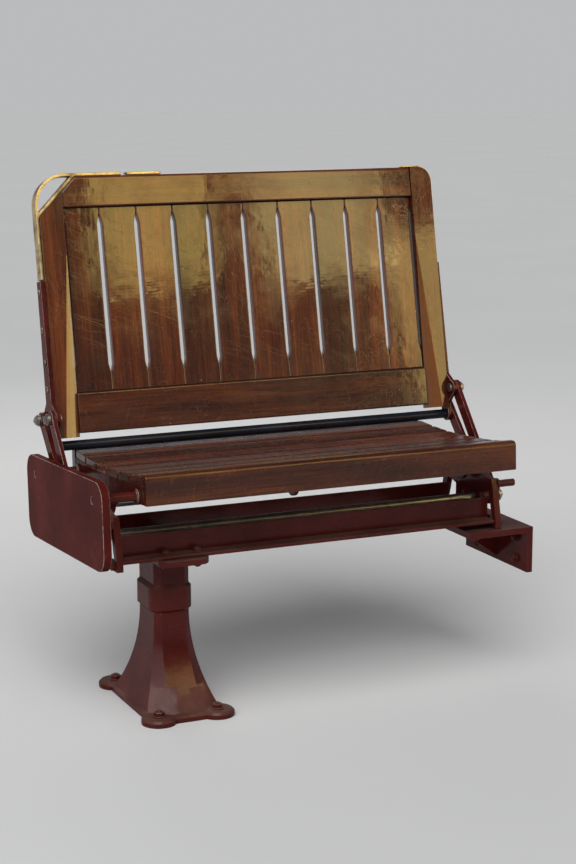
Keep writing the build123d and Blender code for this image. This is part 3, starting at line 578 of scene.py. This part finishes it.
def oiled_steel(name, look):
    """Turned steel with an oil film and thin rust between the rubbed patches."""
    finish = Finish(name)
    film = finish.clouds(48.0, 5.0, 0.68)
    rusty = finish.maths("MAXIMUM", finish.step(film, 0.55, 0.68), finish.crevices(0.006, 0.25, 0.9))
    tint = finish.ramp(film, (0.25, [channel * 0.5 for channel in look.steel]), (0.6, look.steel))
    return finish.done(
        Base_Color=finish.mix(finish.times(rusty, 0.8), tint, look.rust),
        Metallic=finish.step(rusty, 0.0, 1.0, 0.95, 0.15),
        Roughness=finish.step(rusty, 0.0, 1.0, 0.33, 0.72),
        Normal=finish.relief((finish.drawn_out(finish.place, TURNING_MARKS, 1.0), 0.0001, 0.6)),
    )


def once(name, maker, *details, **more):
    """A finish that several pieces share is made the first time it is asked for."""
    return bpy.data.materials.get(name) or maker(name, *details, **more)


def castings_paint(scene):
    return once("maroon_casting", iron_paint, scene.seat_paint, scene.seat_paint.maroon, cast=0.8, dust=0.30)


def straps_paint(scene):
    return once("maroon_strap", iron_paint, scene.seat_paint, scene.seat_paint.maroon, cast=0.25, bared=0.70)


def fittings_steel(scene):
    return once("oiled_steel", oiled_steel, scene.seat_metal)


def trim_brass(scene):
    return once("rubbed_brass", rubbed_brass, scene.seat_metal)


class ShapeSteps(Nodes):
    """A geometry node group whose steps follow each other between its input and its output."""

    def __init__(self, name):
        super().__init__(bpy.data.node_groups.new(name, "GeometryNodeTree"))
        for way in ("INPUT", "OUTPUT"):
            self.tree.interface.new_socket("Geometry", in_out=way, socket_type="NodeSocketGeometry")
        self.last = self.add("NodeGroupInput").outputs[0]

    def then(self, kind, inputs=None, **settings):
        """Adds the next step that the piece's shape goes through."""
        self.last = self.add(kind, {0: self.last, **(inputs or {})}, **settings).outputs[0]

    def done(self):
        self.add("NodeGroupOutput", {0: self.last})
        return self.tree


def smooth_faces():
    """Joins a piece's faces along their edges and shades them smoothly."""
    steps = ShapeSteps("smooth_faces")
    steps.then("GeometryNodeRemoveAttribute", {"Name": "custom_normal"})
    steps.then("GeometryNodeMergeByDistance", {"Distance": FACE_JOIN})
    steps.then("GeometryNodeSetShadeSmooth", domain="FACE")
    steps.then("GeometryNodeSetShadeSmooth", domain="EDGE")
    return steps.done()


def flat_facets():
    """Shades the long facets flat that meet the faces beside them at a slight angle."""
    steps = ShapeSteps("flat_facets")
    bend = steps.add("GeometryNodeInputMeshEdgeAngle").outputs["Unsigned Angle"]
    within = {0: bend, 1: FACET_BEND, 2: FACET_BEND_SPREAD}
    slight = steps.add("ShaderNodeMath", within, operation="COMPARE").outputs[0]
    by_edge = steps.add("GeometryNodeFieldOnDomain", {"Value": slight}, data_type="FLOAT", domain="EDGE")
    # A facet is a strip of four edges, of which the two long ones bend slightly
    most = {0: by_edge.outputs["Value"], 1: 0.4}
    facets = steps.add("ShaderNodeMath", most, operation="GREATER_THAN").outputs[0]
    steps.then("GeometryNodeSetShadeSmooth", {"Selection": facets, "Shade Smooth": False}, domain="FACE")
    return steps.done()


def shape_steps(maker):
    """A node group that several pieces share is made the first time it is asked for."""
    return bpy.data.node_groups.get(maker.__name__) or maker()


def modifier(piece, kind, name, **settings):
    made = piece.modifiers.new(name, kind)
    for setting, value in settings.items():
        setattr(made, setting, value)


def dress(node, material, arris, crisp=False):
    """Gives a fixed piece its finish and rounds its edges, without touching its mesh.

    With crisp, the long facets of its bullnose keep the edges between them.
    """
    piece = frame["nodes"][node]
    piece.material_slots[0].material = material
    modifier(piece, "NODES", "joined faces", node_group=shape_steps(smooth_faces))
    modifier(piece, "DECIMATE", "whole flats", decimate_type="DISSOLVE", angle_limit=FLAT_WITHIN)
    if crisp:
        modifier(piece, "NODES", "crisp facets", node_group=shape_steps(flat_facets))
    modifier(
        piece,
        "BEVEL",
        "rounded edges",
        width=arris,
        segments=3,
        limit_method="ANGLE",
        angle_limit=ROUNDED_FROM,
        use_clamp_overlap=True,
        miter_outer="MITER_ARC",
    )
    modifier(piece, "WELD", "closed slivers", merge_threshold=SLIVER_JOIN)
    modifier(piece, "WEIGHTED_NORMAL", "even shading", weight=90, keep_sharp=True)


def turn_profile(bm, profile, segments):
    """Turns (radius, height) points round the local Z axis, as on a lathe."""
    rings = []
    for radius, height in profile:
        if radius <= 0:
            rings.append([bm.verts.new((0, 0, height))])
            continue
        angles = [2 * math.pi * step / segments for step in range(segments)]
        points = [Vector((radius * math.cos(a), radius * math.sin(a), height)) for a in angles]
        rings.append([bm.verts.new(point) for point in points])
    for low, high in zip(rings, rings[1:]):
        for step in range(segments):
            after = (step + 1) % segments
            if len(low) == 1:
                bm.faces.new((low[0], high[step], high[after]))
            elif len(high) == 1:
                bm.faces.new((low[step], low[after], high[0]))
            else:
                bm.faces.new((low[step], low[after], high[after], high[step]))


def mesh_of(name, bm, sharp=38.0):
    """Closes a bmesh into a mesh with smooth faces and crisp edges."""
    bmesh.ops.recalc_face_normals(bm, faces=bm.faces[:])
    mesh = bpy.data.meshes.new(name)
    bm.to_mesh(mesh)
    bm.free()
    mesh.polygons.foreach_set("use_smooth", [True] * len(mesh.polygons))
    mesh.set_sharp_from_angle(angle=math.radians(sharp))
    return mesh


def slotted_head(name, sizes, radius, height):
    """A screw's head with its slot cut across."""
    slot_half = radius * 0.13
    slot_depth = height * 0.55
    root = -SUNK
    bm = bmesh.new()
    outline = [(0, height), (radius * 0.45, height * 0.95), (radius * 0.80, height * 0.68), (radius, 0)]
    outline += [(radius, root), (0, root)]
    turn_profile(bm, outline, sizes.segments)
    for side in (-slot_half, slot_half):
        everything = bm.verts[:] + bm.edges[:] + bm.faces[:]
        bmesh.ops.bisect_plane(bm, geom=everything, plane_co=(0, side, 0), plane_no=(0, 1, 0))
    centres = [(face, face.calc_center_median()) for face in bm.faces]
    middle = [face for face, centre in centres if abs(centre.y) < slot_half and centre.z > 0]
    sunk = bmesh.ops.extrude_face_region(bm, geom=middle)["geom"]
    bmesh.ops.delete(bm, geom=middle, context="FACES")
    floor_points = [part for part in sunk if isinstance(part, bmesh.types.BMVert)]
    bmesh.ops.translate(bm, verts=floor_points, vec=(0, 0, -slot_depth))
    return mesh_of(name, bm)


def hexagon_head(name, sizes, bolt=1.0, washer=1.0, tall=0.75):
    """A chamfered hexagon on its washer, with the bolt's end standing out.

    bolt and washer are shares of the full sizes, and tall is the hexagon's height over its corner radius.
    """
    corner = sizes.bolt * bolt
    washer = sizes.washer * washer
    seat = washer * 0.18
    top = seat + corner * tall
    stub = corner * 0.48
    end = top + corner * 0.22
    bm = bmesh.new()
    rim = [(0, -SUNK), (washer, -SUNK), (washer, seat * 0.7), (washer * 0.94, seat), (0, seat)]
    flats = [(0, seat), (corner, seat), (corner, top - corner * 0.14), (corner * 0.84, top), (0, top)]
    shank = [(0, top), (stub, top), (stub, end - corner * 0.08), (stub * 0.82, end), (0, end)]
    turn_profile(bm, rim, sizes.segments)
    turn_profile(bm, flats, 6)
    turn_profile(bm, shank, sizes.segments)
    return mesh_of(name, bm, 28.0)


def fittings(name, head, places, body, material):
    """Makes one piece that holds a copy of head at each (point, outward direction)."""
    chance = random.Random(name)
    bm = bmesh.new()
    for point, outward in places:
        first = len(bm.verts)
        bm.from_mesh(head)
        bm.verts.ensure_lookup_table()
        spin = Matrix.Rotation(chance.uniform(0, math.pi), 4, "Z")
        aim = outward.to_track_quat("Z", "Y").to_matrix().to_4x4()
        bmesh.ops.transform(bm, matrix=Matrix.Translation(point) @ aim @ spin, verts=bm.verts[first:])
    mesh = bpy.data.meshes.new(name)
    bm.to_mesh(mesh)
    bm.free()
    mesh.materials.append(material)
    piece = bpy.data.objects.new(name, mesh)
    bpy.context.scene.collection.objects.link(piece)
    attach(piece, body)


def aim_lamp(context, lamp, centre, offset):
    """Hangs a lamp at an offset from the seat's centre, facing it."""
    holder = bpy.data.objects.new(lamp.name, lamp)
    context.scene.collection.objects.link(holder)
    holder.location = centre + offset
    holder.rotation_euler = (-offset).to_track_quat("-Z", "Y").to_euler()
    return holder


class SEAT_OT_studio(bpy.types.Operator):
    """Lays the pale floor and sets the soft lights and the camera"""

    bl_idname = "tram_seat.studio"
    bl_label = "Floor, lights and camera"

    def execute(self, context):
        look = context.scene.seat_studio
        low, high = CAD_BOX
        centre = (low + high) / 2
        bm = bmesh.new()
        bmesh.ops.create_circle(bm, cap_ends=True, segments=64, radius=40.0)
        floor = bpy.data.objects.new("studio_floor", mesh_of("studio_floor", bm))
        context.scene.collection.objects.link(floor)
        finish = Finish("studio_floor")
        cloudy = finish.clouds(1.3, 3.0)
        dimmer = [channel * 0.97 for channel in look.floor]
        tint = finish.ramp(cloudy, (0.3, dimmer), (0.7, look.floor))
        matt = finish.done(Base_Color=tint, Roughness=0.9, Specular_IOR_Level=0.05)
        floor.data.materials.append(matt)

        world = bpy.data.worlds.new("studio")
        context.scene.world = world
        world.use_nodes = True
        sky = Nodes(world.node_tree)
        # The stops' positions are the sine of the height above the horizon
        height = sky.part(sky.add("ShaderNodeTexCoord").outputs["Generated"], "Z")
        shade = sky.ramp(height, (0.05, look.horizon), (0.22, look.overhead), blend="EASE")
        sky.put(sky.tree.nodes["Background"].inputs["Color"], shade)

        sun = bpy.data.lights.new("overhead_light", "SUN")
        sun.energy = look.sun
        sun.angle = math.radians(55)
        aim_lamp(context, sun, centre, Vector((-1.1, -1.9, 2.8)))

        # name, strength, tint, width, height, place from the seat's centre
        panels = (
            ("golden_left", look.golden, (1.0, 0.73, 0.20), 0.38, 1.30, (0.68, -2.02, 1.52)),
            ("golden_right", look.golden, (1.0, 0.78, 0.30), 0.44, 1.30, (1.24, -2.02, 1.52)),
            ("golden_wall", look.side, (1.0, 0.73, 0.24), 2.20, 0.95, (2.16, -1.25, 0.57)),
            ("aisle_panel", look.fill, (0.94, 0.97, 1.0), 1.40, 1.40, (-2.50, -1.30, 0.80)),
            ("rear_panel", look.fill, (1.0, 0.98, 0.94), 2.00, 1.20, (0.50, 2.50, 1.70)),
        )
        for name, strength, tint, width, tall, offset in panels:
            lamp = bpy.data.lights.new(name, "AREA")
            lamp.shape = "RECTANGLE"
            lamp.size = width
            lamp.size_y = tall
            lamp.energy = strength * math.pi * width * tall
            lamp.color = tint
            holder = aim_lamp(context, lamp, centre, Vector(offset))
            # The golden panels only make reflections
            holder.visible_diffuse = not name.startswith("golden")

        camera = bpy.data.objects.new("camera", bpy.data.cameras.new("camera"))
        context.scene.collection.objects.link(camera)
        camera.data.lens = look.lens
        camera.data.dof.use_dof = False
        away = Vector((math.sin(look.azimuth), -math.cos(look.azimuth), math.tan(look.elevation)))
        camera.location = centre + away.normalized() * look.distance
        camera.rotation_euler = (-away).to_track_quat("-Z", "Y").to_euler()
        context.scene.camera = camera
        context.scene.view_settings.view_transform = "Standard"
        return {"FINISHED"}


class SEAT_OT_back_slats(bpy.types.Operator):
    """Finishes the ten slats, each cut from its own board"""

    bl_idname = "tram_seat.back_slats"
    bl_label = "Back slats"

    def execute(self, context):
        look = context.scene.seat_wood
        for node in BACK_SLATS:
            dress(node, mahogany(node, look, GRAIN_UP_THE_BACK), look.arris)
        return {"FINISHED"}


class SEAT_OT_back_frame(bpy.types.Operator):
    """Finishes the stiles and rails of the back"""

    bl_idname = "tram_seat.back_frame"
    bl_label = "Back frame"

    def execute(self, context):
        look = context.scene.seat_wood
        # node, way of the grain, tone, strength of the golden reflection painted on the bullnose
        boards = (
            ("stile_aisle", GRAIN_UP_THE_BACK, 0.0, 0.7),
            ("stile_wall", GRAIN_UP_THE_BACK, -0.1, 0.5),
            ("top_rail", GRAIN_ALONG_RAIL, -0.30, 0.0),
            # Painted shade: the bottom rail is toned darker because the back's lower part lies in shade
            ("bottom_rail", GRAIN_ALONG_RAIL, -1.1, 0.0),
        )
        for node, grain, tone, bullnose_glint in boards:
            dress(node, mahogany(node, look, grain, tone, bullnose_glint=bullnose_glint), look.arris * 1.3, crisp=bullnose_glint > 0)
        return {"FINISHED"}


class SEAT_OT_brasswork(bpy.types.Operator):
    """Finishes the corner handle, plate and cap, and drives their slotted screws"""

    bl_idname = "tram_seat.brasswork"
    bl_label = "Brasswork"

    def execute(self, context):
        sizes = context.scene.seat_fittings
        look = context.scene.seat_metal
        brass = trim_brass(context.scene)
        dress("brass_handle", brass, look.arris)
        dress("brass_plate", brass, look.arris)
        dress("corner_cap", brass, look.arris * 0.6)
        strap_thick, cap_thick = 0.0055, 0.002
        places = []
        # Along the handle's top, down its side and on its diagonal
        for along in (0.020, 0.052, 0.083):
            x = AISLE_X + CORNER_CUT + along
            places.append((on_back(x, TOP_OF_BACK + strap_thick, 0), UP_THE_BACK))
        for down in (0.022, 0.062, 0.102):
            places.append((on_back(AISLE_X - strap_thick, TOP_OF_BACK - CORNER_CUT - down, 0), -ACROSS))
        outward = (UP_THE_BACK - ACROSS).normalized()
        for along in (-0.018, 0.018):
            x, up = AISLE_X + CORNER_CUT / 2 + along, TOP_OF_BACK - CORNER_CUT / 2 + along
            places.append((on_back(x, up, 0) + outward * strap_thick, outward))
        # Along the plate, then on both sides of the cap
        plate_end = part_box("brass_plate")[0].x
        for along in (0.013, 0.057):
            places.append((on_back(plate_end + along, TOP_OF_BACK + strap_thick, 0), UP_THE_BACK))
        for inset in (0.038, 0.054):
            places.append((on_back(WALL_X - inset, TOP_OF_BACK + cap_thick, 0), UP_THE_BACK))
            places.append((on_back(WALL_X + cap_thick, TOP_OF_BACK - inset, 0), ACROSS))
        head = slotted_head("brass_screw_head", sizes, sizes.screw, height=0.0014)
        fittings("brass_screws", head, places, "back", brass)
        return {"FINISHED"}


class SEAT_OT_side_irons(bpy.types.Operator):
    """Paints the side irons and sets the round-headed screws that hold them to the stiles"""

    bl_idname = "tram_seat.side_irons"
    bl_label = "Side irons"

    def execute(self, context):
        sizes = context.scene.seat_fittings
        paint = straps_paint(context.scene)
        arris = context.scene.seat_paint.arris
        for node in ("side_iron_aisle", "side_iron_wall"):
            dress(node, paint, arris)
        iron_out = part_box("side_iron_aisle")[0].x
        above_knuckle = (0.055, 0.105, 0.165, 0.235)
        places = [(on_back(x, up, 0), out) for up in above_knuckle for x, out in both_ends(iron_out)]
        head = slotted_head("iron_screw_head", sizes, sizes.iron_screw, height=0.0030)
        fittings("side_iron_screws", head, places, "back", paint)
        return {"FINISHED"}


class SEAT_OT_linkage(bpy.types.Operator):
    """Paints the arms and links that carry the back across"""

    bl_idname = "tram_seat.linkage"
    bl_label = "Arms and links"

    def execute(self, context):
        paint = straps_paint(context.scene)
        arris = context.scene.seat_paint.arris
        for node in ("arm_aisle", "arm_wall", "link_aisle", "link_wall"):
            dress(node, paint, arris)
        return {"FINISHED"}


class SEAT_OT_shafts(bpy.types.Operator):
    """Finishes the shafts and pins, and the blue-black tie bar between the side irons"""

    bl_idname = "tram_seat.shafts"
    bl_label = "Shafts and pins"

    def execute(self, context):
        steel = fittings_steel(context.scene)
        look = context.scene.seat_paint
        pins = ("link_pin_aisle", "link_pin_wall", "knuckle_pins_aisle", "knuckle_pins_wall")
        for node in pins + ("torque_shaft", "rock_shaft"):
            dress(node, steel, arris=0.0016)
        enamel = once("blue_black_enamel", iron_paint, look, look.blue_black, cast=0.2)
        dress("back_tie_bar", enamel, arris=0.0012)

        sizes = context.scene.seat_fittings
        nut = hexagon_head("pin_nut", sizes, bolt=0.8, washer=0.78, tall=0.45)
        ends = both_ends(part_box("knuckle_pins_aisle")[0].x)
        knuckles = [(on_back(x, 0, side), out) for x, out in ends for side in (-HALF_KNUCKLE, HALF_KNUCKLE)]
        fittings("knuckle_nuts", nut, knuckles, "back", steel)
        # name, joint that turns on the pin, body that carries it
        for name, joint, body in (("arm_nuts", "back_swing", "arms"), ("link_nuts", "link_swing", "frame")):
            middle = Vector(JOINTS[joint]["pos_m"])
            places = [(Vector((x, middle.y, middle.z)), out) for x, out in ends]
            fittings(name, nut, places, body, steel)
        return {"FINISHED"}


class SEAT_OT_seat_slats(bpy.types.Operator):
    """Finishes the dished row of seat slats and sinks their screws"""

    bl_idname = "tram_seat.seat_slats"
    bl_label = "Seat slats"

    def execute(self, context):
        look = context.scene.seat_wood
        sizes = context.scene.seat_fittings
        # The row: half the pan's depth, an apron's thickness, the gap between slats and their number,
        # then the height of the row's edges above the shaft and how far its middle is dished
        half_depth, apron, gap, count = 0.200, 0.020, 0.006, 6
        top, dish = 0.076, 0.012
        inner = half_depth - apron
        pitch = (2 * inner - gap) / count
        row = (on_pan(0, gap / 2 - inner, top).y, pitch)
        wood = mahogany("seat_slats", look, GRAIN_ALONG_PAN, tone=1.0, row=row, polish=0.45)
        dress("seat_slats", wood, look.arris)
        low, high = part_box("seat_slats")
        rib_low, rib_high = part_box("pan_rib_middle")
        from_end = 0.0056
        ribs = (low.x + from_end, (rib_low.x + rib_high.x) / 2, high.x - from_end)
        places = []
        for number in range(count):
            middle = -inner + gap + (pitch - gap) / 2 + pitch * number
            slope = 2 * dish * middle / half_depth**2
            height = top - dish * (1 - (middle / half_depth) ** 2)
            outward = pan_direction(0, -slope, 1).normalized()
            for x in ribs:
                for aside in (-0.013, 0.013):
                    places.append((on_pan(x, middle + aside, height + aside * slope), outward))
        head = slotted_head("seat_screw_head", sizes, sizes.seat_screw, height=0.0007)
        fittings("seat_screws", head, places, "pan", fittings_steel(context.scene))
        return {"FINISHED"}


class SEAT_OT_aprons(bpy.types.Operator):
    """Finishes the pan's front and rear aprons"""

    bl_idname = "tram_seat.aprons"
    bl_label = "Aprons"

    def execute(self, context):
        look = context.scene.seat_wood
        # Painted shade: the aprons are toned darker because they lie in shade under the seat's edge
        for node, tone in (("apron_front", -1.0), ("apron_rear", -0.6)):
            dress(node, mahogany(node, look, GRAIN_ALONG_PAN, tone, polish=0.5), look.arris)
        return {"FINISHED"}


class SEAT_OT_pan_irons(bpy.types.Operator):
    """Paints the ribs that hang the pan on its rocking shaft"""

    bl_idname = "tram_seat.pan_irons"
    bl_label = "Pan ribs"

    def execute(self, context):
        paint = castings_paint(context.scene)
        for node in ("pan_end_aisle", "pan_end_wall", "pan_rib_middle"):
            dress(node, paint, context.scene.seat_paint.arris)
        return {"FINISHED"}


class SEAT_OT_cover_plate(bpy.types.Operator):
    """Paints the cover plate and its stand-offs, with their screws"""

    bl_idname = "tram_seat.cover_plate"
    bl_label = "Cover plate"

    def execute(self, context):
        sizes = context.scene.seat_fittings
        look = context.scene.seat_paint
        plate = once("maroon_cover", iron_paint, look, look.maroon, cast=0.12, gloss=0.15, bared=0.70)
        dress("cover_plate", plate, look.arris)
        dress("cover_standoffs", straps_paint(context.scene), look.arris)
        # The heads lie in the plate's two screw holes, in line with the stand-offs
        sunk_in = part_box("cover_plate")[0].x + 0.0007
        above_shaft = 0.036
        places = [(on_pan(sunk_in, y, above_shaft), -ACROSS) for y in (-0.163, 0.163)]
        head = slotted_head("cover_screw_head", sizes, sizes.iron_screw, height=0.0005)
        fittings("cover_screws", head, places, "pan", plate)
        return {"FINISHED"}


class SEAT_OT_castings(bpy.types.Operator):
    """Paints the end castings and cross rails, with the bolts that join them"""

    bl_idname = "tram_seat.castings"
    bl_label = "End castings and rails"

    def execute(self, context):
        sizes = context.scene.seat_fittings
        paint = castings_paint(context.scene)
        arris = context.scene.seat_paint.arris
        for node in ("end_casting_aisle", "end_casting_wall", "cross_rail_front", "cross_rail_rear"):
            dress(node, paint, arris)
        casting_thick, rail_thick = 0.012, 0.006
        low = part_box("end_casting_aisle")[0].z
        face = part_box("cross_rail_front")[0].x - casting_thick
        rail_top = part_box("pedestal_head")[1].z + rail_thick
        bolt = hexagon_head("rail_bolt_head", sizes, bolt=0.8, washer=0.75)
        places = []
        # Two at each end of each rail, then two that clamp each rail to the head, nuts below
        bolt_line = low + 0.0092
        for y in (-0.094, -0.060, 0.060, 0.094):
            places += [(Vector((x, y, bolt_line)), out) for x, out in both_ends(face)]
        for x in (-0.030, 0.030):
            for y in (-0.092, 0.092):
                places.append((Vector((x, y, rail_top)), UP))
                places.append((Vector((x, y, low)), DOWN))
        fittings("rail_bolts", bolt, places, "frame", paint)
        return {"FINISHED"}


class SEAT_OT_pedestal(bpy.types.Operator):
    """Paints the pedestal and its head and bolts its foot down"""

    bl_idname = "tram_seat.pedestal"
    bl_label = "Pedestal"

    def execute(self, context):
        sizes = context.scene.seat_fittings
        look = context.scene.seat_paint
        paint = once("maroon_pedestal", iron_paint, look, look.maroon, cast=0.9, dust=0.35)
        for node in ("pedestal", "pedestal_head"):
            dress(node, paint, look.arris * 1.6)
        bolt = hexagon_head("foot_bolt_head", sizes)
        foot_thick = 0.012
        places = [(Vector((x, y, foot_thick)), UP) for x in (-0.056, 0.056) for y in (-0.116, 0.116)]
        fittings("foot_bolts", bolt, places, "frame", paint)
        return {"FINISHED"}


class SEAT_OT_wall_bracket(bpy.types.Operator):
    """Paints the wall bracket and sets its bolts"""

    bl_idname = "tram_seat.wall_bracket"
    bl_label = "Wall bracket"

    def execute(self, context):
        sizes = context.scene.seat_fittings
        paint = castings_paint(context.scene)
        dress("wall_bracket", paint, context.scene.seat_paint.arris)
        bolt = hexagon_head("bracket_bolt_head", sizes, bolt=0.9, washer=0.9)
        bracket_thick = 0.012
        bracket_low, bracket_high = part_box("wall_bracket")
        # Four through the flange into the wall, then two up through the shelf into the casting
        flange_in = bracket_high.x - bracket_thick
        places = [(Vector((flange_in, y, z)), -ACROSS) for y in (-0.075, 0.075) for z in (0.212, 0.256)]
        shelf_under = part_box("end_casting_wall")[0].z - bracket_thick
        for y in (-0.089, 0.089):
            places.append((Vector((bracket_low.x + 0.030, y, shelf_under)), DOWN))
        fittings("bracket_bolts", bolt, places, "frame", paint)
        return {"FINISHED"}


MAKING_ORDER = (
    SEAT_OT_studio,
    SEAT_OT_back_slats,
    SEAT_OT_back_frame,
    SEAT_OT_brasswork,
    SEAT_OT_side_irons,
    SEAT_OT_linkage,
    SEAT_OT_shafts,
    SEAT_OT_seat_slats,
    SEAT_OT_aprons,
    SEAT_OT_pan_irons,
    SEAT_OT_cover_plate,
    SEAT_OT_castings,
    SEAT_OT_pedestal,
    SEAT_OT_wall_bracket,
)


class SEAT_PT_panel(bpy.types.Panel):
    """Lists the seat's pieces and their finishes"""

    bl_idname = "SEAT_PT_panel"
    bl_label = "Tram seat"
    bl_space_type = "VIEW_3D"
    bl_region_type = "UI"
    bl_category = "Tram seat"

    def draw(self, context):
        for operator in MAKING_ORDER:
            self.layout.operator(operator.bl_idname)
        for group in LOOKS:
            box = self.layout.box()
            for name in LOOKS[group].__annotations__:
                box.prop(getattr(context.scene, group), name)


LOOKS = {
    "seat_wood": WoodLook,
    "seat_paint": PaintLook,
    "seat_metal": MetalLook,
    "seat_fittings": FittingSizes,
    "seat_studio": StudioLook,
}


def register():
    for made in (*LOOKS.values(), *MAKING_ORDER, SEAT_PT_panel):
        bpy.utils.register_class(made)
    for name, look in LOOKS.items():
        setattr(bpy.types.Scene, name, PointerProperty(type=look))


def unregister():
    for name in LOOKS:
        delattr(bpy.types.Scene, name)
    for made in reversed((*LOOKS.values(), *MAKING_ORDER, SEAT_PT_panel)):
        bpy.utils.unregister_class(made)


def main():
    register()
    for operator in MAKING_ORDER:
        group, name = operator.bl_idname.split(".")
        getattr(getattr(bpy.ops, group), name)()


if __name__ == "__main__":
    main()
